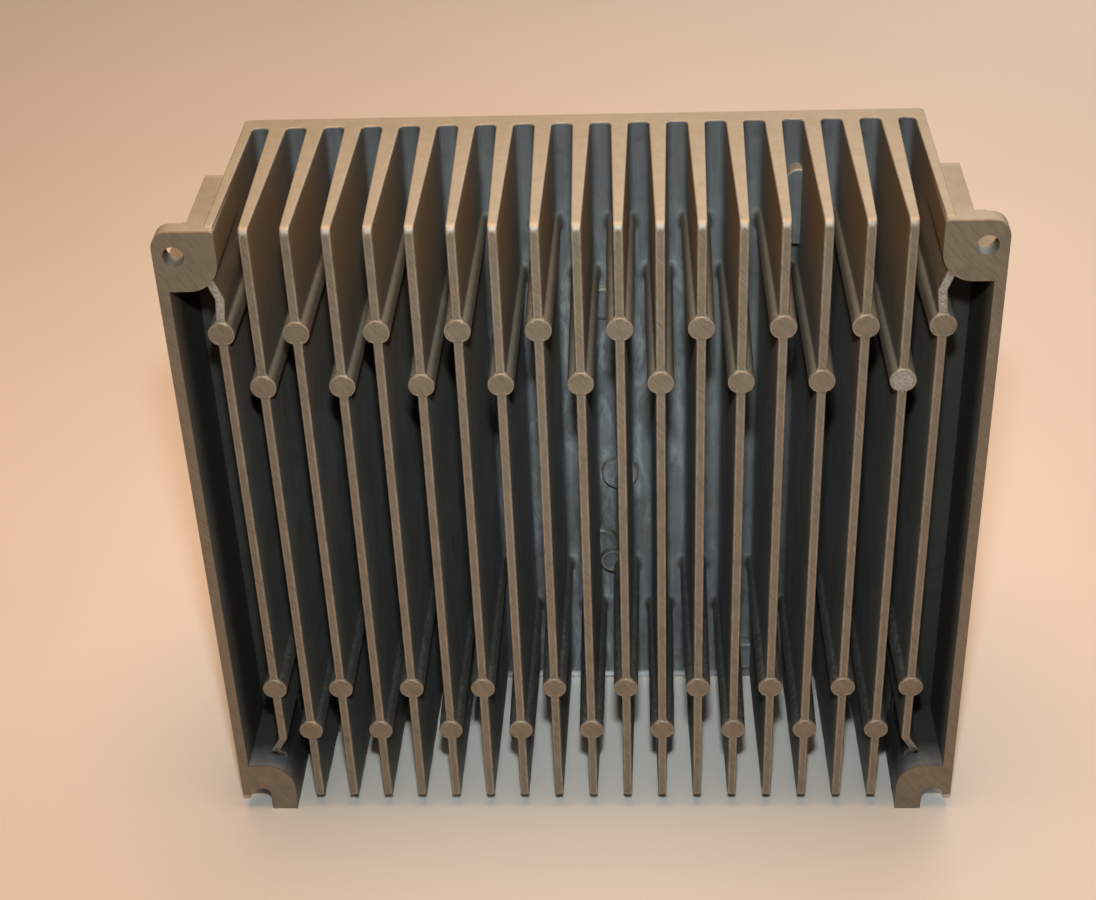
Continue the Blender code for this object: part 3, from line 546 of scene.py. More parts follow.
def finned_body():
    """Base plate, fins and pin columns as one closed mesh."""
    mesh = bmesh.new()
    grid = [draw_row(mesh, row) for row in body_rows()]

    def quad(*verts):
        seen = []
        for vert in verts:
            if vert not in seen:
                seen.append(vert)
        if len(seen) > 2:
            mesh.faces.new(seen)

    def fin_end(left, right):
        """Closes the end of one fin, from its root to its tip."""
        flat = len(left) - 3
        for j in range(ROOT_STEPS, flat - 1):
            quad(left[j], right[j], right[j + 1], left[j + 1])
        quad(*left[flat - 1:], *right[flat - 1:-1][::-1])

    def body_end(slots, strips):
        """Closes the body's top or underside."""
        chain = [slots[0]]
        for fin, (left, right) in enumerate(strips):
            chain += left[:ROOT_STEPS + 1] + right[:ROOT_STEPS + 1][::-1] + [slots[fin + 1]]
            if len(left) > ROOT_STEPS + 1:
                fin_end(left, right)
        return mesh.faces.new(chain)

    for (slots0, strips0), (slots1, strips1) in zip(grid, grid[1:]):
        for fin in range(FIN_COUNT):
            (left0, right0), (left1, right1) = strips0[fin], strips1[fin]
            common = min(len(left0), len(left1))
            quad(slots0[fin], left0[0], left1[0], slots1[fin])
            quad(right0[0], slots0[fin + 1], slots1[fin + 1], right1[0])
            for j in range(common - 1):
                quad(left0[j], left0[j + 1], left1[j + 1], left1[j])
                quad(right0[j + 1], right0[j], right1[j], right1[j + 1])
            full0, full1 = len(left0) > ROOT_STEPS + 1, len(left1) > ROOT_STEPS + 1
            if not full1 or full1 and not full0:
                quad(left0[ROOT_STEPS], right0[ROOT_STEPS], right1[ROOT_STEPS], left1[ROOT_STEPS])
            if full1 and not full0:
                fin_end(left1, right1)
    back = [slots[0] for slots, _ in grid] + [slots[-1] for slots, _ in reversed(grid)]
    flats = [body_end(*grid[-1]), body_end(*grid[0]), mesh.faces.new(back)]
    for face in flats:
        face.normal_update()
    bmesh.ops.triangulate(mesh, faces=flats, ngon_method="EAR_CLIP")
    return make_object("finned_body", mesh)


# ---- ears and side channels

EAR_IN = 104.5
EAR_TOP = HEIGHT - 0.25       # just under the end fins, as two halves of a mould leave it
EAR_THICKNESS = 6.0
EAR_CORNER = 5.4
EAR_INNER_CORNER = 1.5
EAR_THROAT = 9.4
UPPER_EAR_LOW = 209.2
LOWER_EAR_TOP = 19.8
EAR_HOLE = (117.0, 220.8)
EAR_HOLE_RADIUS = 3.2
SLOT_IN = 113.3
SLOT_OUT = 120.5
SLOT_TOP = 9.6
SLOT_CORNER = 2.6
OUTER_LEG_LOW = 6.6
BLOCK_OUT = 113.3
CHANNEL_WALL = 3.4
CHANNEL_DEPTH = 31.0
CHANNEL_BACK = 37.0
WEB = 3.8
UPPER_THROAT = arc((EAR_IN + EAR_THROAT, UPPER_EAR_LOW + EAR_THROAT), EAR_THROAT, 180, 270, 12)
LOWER_THROAT = arc((EAR_IN + EAR_THROAT, LOWER_EAR_TOP - EAR_THROAT), EAR_THROAT, 90, 180, 12)


def upper_ear_outline(outer):
    corner = [(outer, EAR_TOP)]
    low = []
    if outer > BLOCK_OUT:
        corner = arc((outer - EAR_CORNER, EAR_TOP - EAR_CORNER), EAR_CORNER, 0, 90, 8)
        low = [(outer, UPPER_EAR_LOW)]
    inner = (EAR_IN + EAR_INNER_CORNER, EAR_TOP - EAR_INNER_CORNER)
    return UPPER_THROAT + low + corner + arc(inner, EAR_INNER_CORNER, 90, 180, 3)


def lower_ear_outline():
    slot = arc((SLOT_IN + SLOT_CORNER, SLOT_TOP - SLOT_CORNER), SLOT_CORNER, 180, 90, 5)
    slot += arc((SLOT_OUT - SLOT_CORNER, SLOT_TOP - SLOT_CORNER), SLOT_CORNER, 90, 0, 5)
    return LOWER_THROAT + [(EAR_IN, 0.0), (SLOT_IN, 0.0)] + slot + [
        (SLOT_OUT, OUTER_LEG_LOW), (EAR_OUT, OUTER_LEG_LOW), (EAR_OUT, LOWER_EAR_TOP)]


def lower_block_outline():
    inside = [(x, z) for x, z in LOWER_THROAT if x < BLOCK_OUT]
    return [(BLOCK_OUT, LOWER_EAR_TOP)] + inside + [(EAR_IN, 0.0), (BLOCK_OUT, 0.0)]


def side_frame(side):
    """Ears, the blocks behind them and the channel between them, on one side."""
    ear_back = FRONT_Y + EAR_THICKNESS
    block_front = ear_back - OVERLAP
    block_back = FRONT_Y + CHANNEL_BACK
    low, high = LOWER_EAR_TOP - WEB, UPPER_EAR_LOW + WEB
    inner, outer = PLATE_HALF - 1.5, EAR_OUT - 0.5
    wall_in = EAR_OUT - CHANNEL_WALL
    wall = [(EAR_OUT, 0.0), (EAR_OUT, CHANNEL_BACK), (wall_in - 0.7, CHANNEL_BACK), (wall_in, 0.0)]
    floor = [(inner, CHANNEL_DEPTH), (outer, CHANNEL_DEPTH), (outer, CHANNEL_BACK), (inner, CHANNEL_BACK)]
    lumps = []
    for outline, start, end in (
        (upper_ear_outline(EAR_OUT), FRONT_Y, ear_back),
        (lower_ear_outline(), FRONT_Y, ear_back),
        (upper_ear_outline(BLOCK_OUT), block_front, block_back),
        (lower_block_outline(), block_front, block_back),
    ):
        lumps.append(prism([(side * x, z) for x, z in outline], start, end))
    for outline, start, end in ((wall, LOWER_EAR_TOP - 2.0, UPPER_EAR_LOW + 2.0), (floor, low, high)):
        lumps.append(prism([(side * x, FRONT_Y + depth) for x, depth in outline], start, end, "Z"))
    left, right = sorted((side * (BLOCK_OUT - 2.0), side * outer))
    for bottom, top in ((low, LOWER_EAR_TOP), (UPPER_EAR_LOW, high)):
        lumps.append(box((left, block_front, bottom), (right, block_back - 1.0, top)))
    centre = (side * EAR_HOLE[0], EAR_HOLE[1])
    hole = rod(EAR_HOLE_RADIUS, FRONT_Y - OVERLAP, ear_back + OVERLAP, 40, "Y", centre)
    return solid("side_frame", lumps, [hole], bevel=0.6)


# ---- electronics tray

TRAY_HALF = 92.0
TRAY_LOW = 46.0
TRAY_TOP = 203.0
TRAY_WALL = 5.0
TRAY_CORNER = 8.0
LUG_RADIUS = 5.5
LUG_HOLE = 2.3
LUG_OUTSET = 4.0
LUG_X = TRAY_HALF + LUG_OUTSET
LUG_PLACES = (
    (-LUG_X, TRAY_TOP - 14.0), (-30.0, TRAY_TOP + LUG_OUTSET), (30.0, TRAY_TOP + LUG_OUTSET),
    (LUG_X, TRAY_TOP - 14.0), (LUG_X, (TRAY_LOW + TRAY_TOP) / 2), (LUG_X, TRAY_LOW + 14.0),
    (22.0, TRAY_LOW - LUG_OUTSET), (-16.0, TRAY_LOW - LUG_OUTSET),
    (-LUG_X, TRAY_LOW + 14.0), (-LUG_X, (TRAY_LOW + TRAY_TOP) / 2),
)
BOARD_POSTS = ((-78.0, 74.0), (78.0, 74.0), (-78.0, 162.0), (78.0, 162.0))
CLAMP_POSTS = ((-36.0, 182.0), (36.0, 182.0))
EARTH_PLACE = (92.0, 20.0)
CONNECTOR_Y = TRAY_Y + 15.0
# The connectors in the tray's underside: distance from the middle, radius of the hole
PANEL = {
    "dc_inlet_positive": (-68.0, 6.3), "dc_inlet_negative": (-40.0, 6.3),
    "ac_inlet": (52.0, 9.3), "vent_plug": (4.0, 5.8),
}


def tray_outline(inset):
    low = (-TRAY_HALF + inset, TRAY_LOW + inset)
    high = (TRAY_HALF - inset, TRAY_TOP - inset)
    return rounded_box(low, high, TRAY_CORNER - 0.6 * inset, 8)


def tapered_column(place, top_radius, foot_radius, foot, top):
    """A column with the draft of a casting."""
    return turned(((foot_radius, foot), (top_radius, top)), 32, "Y", place)


def tray():
    """The box behind the base plate, with its lugs and posts."""
    foot = TRAY_Y - OVERLAP
    rings = ((0.0, foot), (0.0, RIM_Y), (TRAY_WALL, RIM_Y), (TRAY_WALL, foot))
    lumps = [loft([[(x, y, z) for x, z in tray_outline(inset)] for inset, y in rings], ends=False)]
    lumps += [tapered_column(place, LUG_RADIUS, LUG_RADIUS + 0.4, foot, RIM_Y) for place in LUG_PLACES]
    lumps += [tapered_column(place, 4.5, 4.8, foot, TRAY_Y + 5.0) for place in BOARD_POSTS]
    lumps += [tapered_column(place, 4.0, 4.2, foot, TRAY_Y + 3.0) for place in CLAMP_POSTS]
    lumps += [tapered_column(EARTH_PLACE, 7.0, 7.3, foot, TRAY_Y + 3.0)]
    cuts = [rod(LUG_HOLE, RIM_Y - 12.0, RIM_Y + OVERLAP, 20, "Y", place) for place in LUG_PLACES]
    for x, radius in PANEL.values():
        cuts.append(rod(radius, TRAY_LOW - 2.0, TRAY_LOW + TRAY_WALL + 2.0, 40, "Z", (x, CONNECTOR_Y)))
    return solid("tray", lumps, cuts, bevel=0.5)


# Bosses on the fin side of the base plate: x, z, radius, how far each stands forward
ROUND_BOSSES = (
    (10.2, 96.0, 6.4, 3.0), (2.4, 65.0, 7.0, 3.0), (7.4, 59.0, 5.0, 4.5),
    (5.9, 164.0, 6.0, 1.5), (55.8, 12.5, 6.0, 3.0),
)


def plate_bosses():
    made = []
    for x, z, radius, proud in ROUND_BOSSES:
        profile = (
            (0.62 * radius, PLATE_Y - 0.86 * proud), (0.74 * radius, PLATE_Y - proud),
            (0.9 * radius, PLATE_Y - proud), (0.98 * radius, PLATE_Y - 0.82 * proud),
            (radius, PLATE_Y - 0.6 * proud), (radius + 0.4, PLATE_Y + OVERLAP),
        )
        made.append(make_object("boss", turned(profile, 32, "Y", (x, z))))
    tall = prism(rounded_box((63.5, 187.0), (73.5, 214.0), 4.9, 8), PLATE_Y - 5.0, PLATE_Y + OVERLAP)
    made.append(solid("boss", [tall], (), 0.8, segments=3))
    return made


def housing():
    parts = [finned_body(), side_frame(-1), side_frame(1), tray()] + plate_bosses()
    return smooth(gather("finned_housing", parts))


# ---- lid side

LID_Y = RIM_Y + GAP
LID_FACE_Y = BACK_Y - 1.5
LUG_PLATE = 4.0
PLATE_SIZE = (96.0, 52.0)
PLATE_CENTRE = 130.0
PLATE_HEIGHT = 0.8
LENS_PLACE = (-62.0, 66.0)


def lid_ribs():
    """Upright ribs. Those in the middle are interrupted by the rating plate."""
    ribs = []
    low, high = TRAY_LOW + 34.0, TRAY_TOP - 14.0
    clear = PLATE_SIZE[1] / 2 + 6.0
    split = ((low, PLATE_CENTRE - clear), (PLATE_CENTRE + clear, high))
    for number in range(13):
        x = (number - 6) * 12.0
        for bottom, top in [(low, high)] if abs(x) > 54.0 else split:
            foot = rounded_box((x - 1.5, bottom), (x + 1.5, top), 1.3, 5)
            crest = rounded_box((x - 1.2, bottom + 0.3), (x + 1.2, top - 0.3), 1.1, 5)
            ends = ((foot, LID_FACE_Y - OVERLAP), (crest, BACK_Y))
            ribs.append(loft([[(px, y, pz) for px, pz in outline] for outline, y in ends]))
    return ribs


def lid():
    skirt = prism(tray_outline(0.0), LID_Y, LID_FACE_Y)
    lugs = []
    cuts = [prism(tray_outline(TRAY_WALL), LID_Y - OVERLAP, LID_FACE_Y - 3.0)]
    for place in LUG_PLACES:
        lugs.append(tapered_column(place, LUG_RADIUS - 0.1, LUG_RADIUS, LID_Y, LID_Y + LUG_PLATE))
        cuts.append(rod(LUG_HOLE, LID_Y - OVERLAP, LID_Y + LUG_PLATE + OVERLAP, 24, "Y", place))
    for radius, start in ((2.8, LID_Y - OVERLAP), (4.3, LID_FACE_Y - 1.5)):
        cuts.append(rod(radius, start, BACK_Y + OVERLAP, 32, "Y", LENS_PLACE))
    half, tall = PLATE_SIZE[0] / 2 + GAP, PLATE_SIZE[1] / 2 + GAP
    pocket = rounded_box((-half, PLATE_CENTRE - tall), (half, PLATE_CENTRE + tall), 3.0, 5)
    cuts.append(prism(pocket, LID_FACE_Y - PLATE_HEIGHT - GAP, BACK_Y + OVERLAP))
    return smooth(solid("cast_lid", [skirt] + lugs + lid_ribs(), cuts, bevel=0.35))


def rating_plate():
    """A blank plate with its edge pressed down a little all round."""
    half, tall = PLATE_SIZE[0] / 2, PLATE_SIZE[1] / 2
    base = LID_FACE_Y - PLATE_HEIGHT
    rings = []
    for inset, height in ((0.0, 0.0), (0.0, 0.35), (0.15, 0.5), (2.4, 0.5), (2.9, PLATE_HEIGHT)):
        corner = (half - inset, tall - inset)
        outline = rounded_box((-corner[0], -corner[1]), corner, max(2.7 - inset, 0.8), 5)
        rings.append([(x, base + height, PLATE_CENTRE + z) for x, z in outline])
    return smooth(make_object("blank_rating_plate", loft(rings)), 25.0)


def status_lens():
    seat = LID_FACE_Y - 1.2
    profile = [(2.5, seat - 14.0), (2.5, seat), (4.0, seat), (4.0, seat + 1.0)]
    profile += [(4.0 * cos(a), seat + 1.0 + 0.8 * sin(a)) for a in (0.3, 0.6, 0.9, 1.2, 1.45)]
    return smooth(make_object("status_light_pipe", turned(profile, 40, "Y", LENS_PLACE)))


# ---- screws

HEAD_HEIGHT = 2.6


def screw_mesh(name, length, radius, head_radius):
    """A pan-head screw with a hexagon socket and a thread, along Y, with its origin under the head."""
    pitch = 0.35 * radius
    profile = [(0.5 * radius, -length)]
    turns = int((length - 1.5) / pitch)
    for turn in range(turns):
        y = -length + 0.6 + turn * pitch
        profile += [(0.84 * radius, y), (0.84 * radius, y + 0.15 * pitch), (radius, y + 0.55 * pitch)]
    profile += [(radius, -0.6), (radius, 0.0), (head_radius, 0.0)]
    crown = 0.45 * HEAD_HEIGHT
    for a in (0.0, 0.35, 0.7, 1.05, 1.35):
        out = 0.62 * head_radius + 0.38 * head_radius * cos(a)
        profile.append((out, HEAD_HEIGHT - crown + crown * sin(a)))
    across = 1.1 * radius
    socket_floor = 0.35 * HEAD_HEIGHT
    made = make_object(name, turned(profile, 36))
    mouth = turned(((0.5 * across, HEAD_HEIGHT - 0.5), (0.5 * across + 0.9, HEAD_HEIGHT + 0.4)), 36)
    apply_boolean(made, [prism(hexagon(across), socket_floor, HEAD_HEIGHT + OVERLAP), mouth], "DIFFERENCE")
    return smooth(made, 35.0)


def add_screws(nodes, length, radius, head_radius):
    """A screw for each node, turned by a different angle as real ones are."""
    pattern = screw_mesh("screw", length, radius, head_radius)
    for number, node in enumerate(nodes):
        low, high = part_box(node)
        made = bpy.data.objects.new("turned_" + node, pattern.data)
        made.location = ((low.x + high.x) / 2, high.y - HEAD_HEIGHT * MM, (low.z + high.z) / 2)
        made.rotation_euler = (0.0, radians(37.0 * number % 60.0), 0.0)
        stand_for(link(made), "zinc_steel", node)
    bpy.data.objects.remove(pattern)


# ---- connectors under the tray

def rounded_profile(points, radius=0.35):
    """The points of a turned profile with their corners cut to small rounds."""
    result = [points[0]]
    for before, corner, after in zip(points, points[1:], points[2:]):
        corner, before, after = Vector(corner), Vector(before), Vector(after)
        to_before, to_after = before - corner, after - corner
        reach = min(radius, 0.4 * to_before.length, 0.4 * to_after.length)
        start = corner + to_before.normalized() * reach
        end = corner + to_after.normalized() * reach
        for t in (0.0, 0.33, 0.67, 1.0):
            result.append(tuple(start * (1 - t) ** 2 + corner * 2 * t * (1 - t) + end * t ** 2))
    return result + [points[-1]]


def grip_ribs(count, radius, low, high):
    """Upright ribs round a barrel about Z."""
    ribs = []
    for number in range(count):
        a = 2 * pi * number / count
        middle = Vector((cos(a), sin(a)))
        side = Vector((-sin(a), cos(a)))
        outline = []
        for along, out in ((-0.8, -0.6), (0.8, -0.6), (0.5, 0.5), (-0.5, 0.5)):
            outline.append(tuple(middle * (radius + out) + side * along))
        ribs.append(prism(outline, low, high, "Z"))
    return ribs


def under_tray(node):
    """The place that a connector's shapes are drawn from: its middle, level with the tray's underside."""
    return (PANEL[node][0], CONNECTOR_Y, TRAY_LOW)


def fitting(name, node, lumps, cuts, bevel=0.25, angle=35.0):
    """A solid that is drawn about the middle of its connector."""
    made = solid(name, lumps, cuts, bevel)
    made.location = Vector(under_tray(node)) * MM
    return smooth(made, angle)


BARREL_TOP = -2.1


def dc_inlet(node):
    top = BARREL_TOP
    barrel = [
        (7.0, top - 26.0), (7.4, top - 25.4), (7.4, top - 18.0), (8.6, top - 17.0),
        (8.6, top - 13.0), (7.4, top - 12.0), (7.4, top - 4.0),
    ]
    lumps = [
        prism(hexagon(18.0), top - 5.0, top, "Z"),
        turned(rounded_profile(barrel), 48, "Z"),
        rod(6.0, top - OVERLAP, TRAY_WALL + 8.0, 48, "Z"),
    ]
    lumps += grip_ribs(12, 7.4, top - 11.4, top - 5.6)
    cuts = [rod(5.8, top - 27.0, top - 2.0, 40, "Z"), rod(2.6, top - 3.0, TRAY_WALL + 9.0, 24, "Z")]
    return fitting("barrel_of_" + node, node, lumps, cuts)


AC_PLACES = circle((0.0, 0.0), 4.6, 3)


def ac_inlet():
    top = BARREL_TOP
    flange = [(12.2, top - 4.0), (12.6, top - 3.6), (12.6, top - 0.4), (12.2, top)]
    barrel = [(9.8, top - 26.0), (10.4, top - 25.4), (10.4, top - 21.0)]
    barrel += [(10.8, top - 20.4), (10.8, top - 3.0)]
    lumps = [
        turned(rounded_profile(flange, 0.3), 64, "Z"),
        turned(rounded_profile(barrel), 64, "Z"),
        rod(9.0, top - OVERLAP, TRAY_WALL + 8.0, 48, "Z"),
    ]
    lumps += grip_ribs(18, 10.8, top - 18.5, top - 5.2)
    cuts = [rod(8.6, top - 27.0, top - 6.0, 48, "Z")]
    cuts += [rod(1.8, top - 7.0, TRAY_WALL + 9.0, 20, "Z", place) for place in AC_PLACES]
    return fitting("barrel_of_ac_inlet", "ac_inlet", lumps, cuts)


def vent_plug():
    cap = rounded_profile([(4.4, -7.3), (5.0, -7.3), (6.2, -6.3), (6.2, -4.3), (6.2, -4.0)], 0.6)
    lumps = [
        prism(hexagon(15.0), -5.3, -GAP, "Z"),
        turned(cap, 48, "Z"),
        rod(5.5, -1.3, TRAY_WALL + 3.0, 40, "Z"),
    ]
    slots = []
    for number in range(6):
        a = pi / 3 * number
        corners = ((5.2, a - 0.1), (5.2, a + 0.1), (7.0, a + 0.1), (7.0, a - 0.1))
        outline = [(reach * cos(turn), reach * sin(turn)) for reach, turn in corners]
        slots.append(prism(outline, -6.0, -5.6, "Z"))
    return fitting("breather_plug", "vent_plug", lumps, slots)


def seal_ring(node, outer):
    """A ring between a connector and the tray, with its outer corners cut."""
    inner, low, high, cut = PANEL[node][1], -1.8, -GAP, 0.4
    corners = [(inner, low), (outer - cut, low), (outer, low + cut)]
    corners += [(outer, high - cut), (outer - cut, high), (inner, high)]
    ring = turned(corners, 48, "Z", ends=False)
    return smooth(make_object(f"ring_of_{node}_seal", ring, under_tray(node)), 60.0)


def contact_pin(name, node, centre, radius, tip, top):
    profile = [(0.35 * radius, tip)]
    profile += [(radius * sin(a), tip + 1.4 * (1 - cos(a))) for a in (0.6, 0.95, 1.3, pi / 2)]
    profile += [(radius, top - 0.4), (0.8 * radius, top)]
    return smooth(make_object(name, turned(profile, 24, "Z", centre), under_tray(node)))


def panel_nut(node, across):
    cut = rod(PANEL[node][1], 4.0, 11.0, 40, "Z")
    lump = prism(hexagon(across), 5.3, 9.8, "Z")
    return fitting(f"hexagon_of_{node}_nut", node, [lump], [cut], 0.3, 40.0)


def add_inlet(node, barrel, seal_radius, nut_flats, contacts, *pin_sizes):
    """An inlet with its seal, nut and contacts, which are given as nodes with their places."""
    stand_for(barrel, "black_plastic", node)
    stand_for(seal_ring(node, seal_radius), "black_rubber", node + "_seal")
    stand_for(panel_nut(node, nut_flats), "black_plastic", node + "_nut")
    for contact, place in contacts.items():
        stand_for(contact_pin("pin_of_" + contact, node, place, *pin_sizes), "contact_silver", contact)


def connectors():
    for node in ("dc_inlet_positive", "dc_inlet_negative"):
        add_inlet(node, dc_inlet(node), 8.6, 17.0, {node + "_contact": (0.0, 0.0)}, 2.0, -17.1, 17.0)
    contacts = {f"ac_inlet_contact_{number}": place for number, place in enumerate(AC_PLACES, 1)}
    add_inlet("ac_inlet", ac_inlet(), 12.0, 24.0, contacts, 1.5, -18.1, 16.0)
    stand_for(vent_plug(), "black_plastic", "vent_plug")


# ---- materials

class Recipe:
    """A material whose nodes are added one after another, in the object's own space."""

    def __init__(self, name, metallic=0.0):
        self.material = bpy.data.materials.new(name)
        self.material.use_nodes = True
        self.tree = self.material.node_tree
        self.shader = self.tree.nodes["Principled BSDF"]
        self.shader.inputs["Metallic"].default_value = metallic
        self.place = self.add("TexCoord").outputs["Object"]

    def add(self, kind, inputs=None, **settings):
        node = self.tree.nodes.new("ShaderNode" + kind)
        for key, value in settings.items():
            setattr(node, key, value)
        for key, value in (inputs or {}).items():
            if isinstance(value, bpy.types.NodeSocket):
                self.tree.links.new(value, node.inputs[key])
            else:
                node.inputs[key].default_value = value
        return node

    def stretched(self, scale, turn=(0.0, 0.0, 0.0)):
        turned_place = self.add("Mapping", {"Vector": self.place, "Rotation": turn}).outputs[0]
        return self.add("Mapping", {"Vector": turned_place, "Scale": scale}).outputs[0]

    def noise(self, scale, detail=3.0, roughness=0.55, **more):
        inputs = {"Vector": self.place, "Scale": scale, "Detail": detail, "Roughness": roughness, **more}
        return self.add("TexNoise", inputs).outputs[0]

    def drawn_out(self, scale, detail=3.0, roughness=0.6, turn=(0.0, 0.0, 0.0), **more):
        """Noise with its own scale along each axis, after a turn."""
        return self.noise(1.0, detail, roughness, Vector=self.stretched(scale, turn), **more)

    def span(self, value, low, high, to_low=0.0, to_high=1.0):
        """The value moved from one range to another, and kept inside it."""
        inputs = {"Value": value, "From Min": low, "From Max": high, "To Min": to_low, "To Max": to_high}
        return self.add("MapRange", inputs, clamp=True).outputs[0]

    def math(self, operation, first, second=0.0):
        return self.add("Math", {0: first, 1: second}, operation=operation).outputs[0]

    def product(self, first, *others):
        """What several masks let through together."""
        for other in others:
            first = self.math("MULTIPLY", first, other)
        return first

    def blend(self, factor, first, second):
        """Mixes two colours, each a socket or a tuple."""
        inputs = {0: factor}
        for key, value in ((6, first), (7, second)):
            inputs[key] = value if isinstance(value, bpy.types.NodeSocket) else (*value, 1.0)
        return self.add("Mix", inputs, data_type="RGBA").outputs[2]

    def rounded(self):
        """1 on the edges that mark_rounded_edges found."""
        return self.add("Attribute", attribute_name=WEAR).outputs["Fac"]

    def worn(self, scale, low, high, least, most):
        """The rounded edges, here more and there less."""
        return self.product(self.rounded(), self.span(self.noise(scale, 3.0, 0.7), low, high, least, most))

    def along(self, letter, start, end):
        """Rises from 0 to 1 between two places in mm along an axis."""
        place = self.add("SeparateXYZ", {"Vector": self.place}).outputs[letter]
        return self.span(place, start * MM, end * MM)

    def aside(self, start, end):
        """The same by the distance from the middle, to either side."""
        x = self.add("SeparateXYZ", {"Vector": self.place}).outputs["X"]
        return self.span(self.math("ABSOLUTE", x), start * MM, end * MM)

    def facing(self, letter, start, end, both_ways=False):
        """Rises from 0 to 1 as the surface turns towards an axis, from one cosine to another."""
        normal = self.add("TexCoord").outputs["Normal"]
        cosine = self.add("SeparateXYZ", {"Vector": normal}).outputs[letter]
        return self.span(self.math("ABSOLUTE", cosine) if both_ways else cosine, start, end)

    def near(self, point, outer, inner):
        """1 within a distance in mm of a point in mm, fading to 0 at another."""
        inputs = {0: self.place, 1: tuple(number * MM for number in point)}
        distance = self.add("VectorMath", inputs, operation="DISTANCE").outputs["Value"]
        return self.span(distance, outer * MM, inner * MM)

    def bump(self, height, strength, distance, below=None):
        inputs = {"Height": height, "Strength": strength, "Distance": distance * MM}
        if below:
            inputs["Normal"] = below
        return self.add("Bump", inputs).outputs[0]

    def finish(self, colour, roughness, normal):
        for key, value in (("Base Color", colour), ("Roughness", roughness), ("Normal", normal)):
            self.tree.links.new(value, self.shader.inputs[key])
        return self.material


def as_cast(made, blotch, patches):
    """The casting's skin as the mould left it, with stains and bloom, and with painted shade in its slots
    and channels and painted light on its upper parts and edges.
    """
    streak = made.drawn_out((420.0, 90.0, 26.0))
    cast = made.blend(made.span(blotch, 0.35, 0.68), (0.205, 0.215, 0.215), (0.3, 0.302, 0.29))
    cast = made.blend(made.span(streak, 0.52, 0.75, 0.0, 0.5), cast, (0.42, 0.43, 0.42))
    cast = made.blend(made.span(patches, 0.3, 0.44, 0.55, 0.0), cast, (0.12, 0.125, 0.125))
    # painted shade on the fins' sides, and painted warm light, brown, on the upper ends of their sides
    # towards the front
    high = made.along("Z", 150.0, 226.0)
    near = made.along("Y", PLATE_Y, FRONT_Y + 8.0)
    flank = made.facing("X", 0.6, 0.9, both_ways=True)
    flank_shade = made.product(flank, made.span(near, 0.0, 1.0, 0.35, 0.6))
    cast = made.blend(flank_shade, cast, (0.098, 0.086, 0.064))
    warm = made.product(high, flank, made.span(near, 0.0, 0.5, 0.35, 0.9))
    cast = made.blend(warm, cast, (0.23, 0.15, 0.078))
    # the ejector pins' sides are dark and speckled
    barrel = made.product(
        made.facing("Z", 0.12, 0.45, both_ways=True), made.along("Z", 20.0, 22.5),
        made.along("Z", 212.0, 208.0), made.along("Y", PLATE_Y, PLATE_Y - 2.0),
        made.span(made.noise(620.0, 3.0, 0.7), 0.42, 0.62, 0.85, 0.45),
    )
    cast = made.blend(barrel, cast, (0.065, 0.06, 0.05))
    # painted shade: the base plate is darker towards the top
    deep = made.along("Y", PLATE_Y - 30.0, PLATE_Y - 5.0)
    cast = made.blend(made.product(high, deep, 0.5), cast, (0.085, 0.092, 0.09))
    # painted shade: the side channels and the blocks below them are the darkest
    block = made.product(made.aside(103.0, 104.5), made.along("Z", 30.0, 24.0))
    channel = made.product(
        made.math("MAXIMUM", made.aside(106.5, 108.5), block), 0.88,
        made.along("Y", FRONT_Y + 2.0, FRONT_Y + 12.0), made.along("Y", FRONT_Y + 36.0, FRONT_Y + 34.0),
    )
    cast = made.blend(channel, cast, (0.036, 0.035, 0.03))
    # pale bloom, and painted light, on the base plate where it faces forward, deep between the middle fins
    deep_middle = made.product(made.along("Y", PLATE_Y - 12.0, PLATE_Y), made.aside(55.0, 15.0))
    bloom_and_painted_light = made.span(made.drawn_out((150.0, 150.0, 42.0), 5.0, 0.7, Distortion=0.6), 0.48, 0.7)
    bloom_and_painted_light = made.product(deep_middle, bloom_and_painted_light, made.facing("Y", -0.3, -0.8), made.along("Z", 205.0, 160.0))
    cast = made.blend(made.product(bloom_and_painted_light, 0.75), cast, (0.66, 0.7, 0.72))
    # a dark stain round the bosses in the middle
    stain = made.span(blotch, 0.35, 0.6, 0.2, 0.8)
    stain = made.product(made.near((4.5, PLATE_Y, 70.0), 24.0, 8.0), stain)
    cast = made.blend(stain, cast, (0.105, 0.112, 0.082))
    # a painted highlight along the base plate's lower edge
    cast = made.blend(made.product(deep_middle, made.along("Z", 3.8, 2.4), 0.9), cast, (0.95, 0.97, 0.97))
    # painted warm light: tan on what faces up, high on the casting
    upward = made.product(made.facing("Z", 0.35, 0.95), made.along("Z", 100.0, 180.0), 0.75)
    shade = made.span(made.noise(260.0, 4.0, 0.65), 0.38, 0.62)
    return made.blend(upward, cast, made.blend(shade, (0.338, 0.302, 0.224), (0.374, 0.34, 0.258)))


def sanded(made, scratch, patches):
    """The bare metal of the front faces, with one pin and the kinks of the end fins scraped brighter."""
    # painted reflection: the bare metal's warm tan tint stands for a warm floor in front mirrored in it
    metal = made.blend(made.span(scratch, 0.3, 0.7), (0.195, 0.153, 0.107), (0.295, 0.234, 0.167))
    metal = made.blend(made.span(patches, 0.3, 0.46, 0.35, 0.0), metal, (0.15, 0.122, 0.09))
    scraped = made.near((8 * PITCH, FRONT_Y, PIN_ROWS[2][0]), 4.6, 2.6)
    for side in (-1, 1):
        scraped = made.math("MAXIMUM", scraped, made.near((side * 106.0, FRONT_Y, 205.0), 7.5, 4.5))
    scraped = made.product(scraped, made.span(made.noise(1500.0, 4.0, 0.8), 0.4, 0.62))
    return made.blend(scraped, metal, (0.56, 0.53, 0.49))


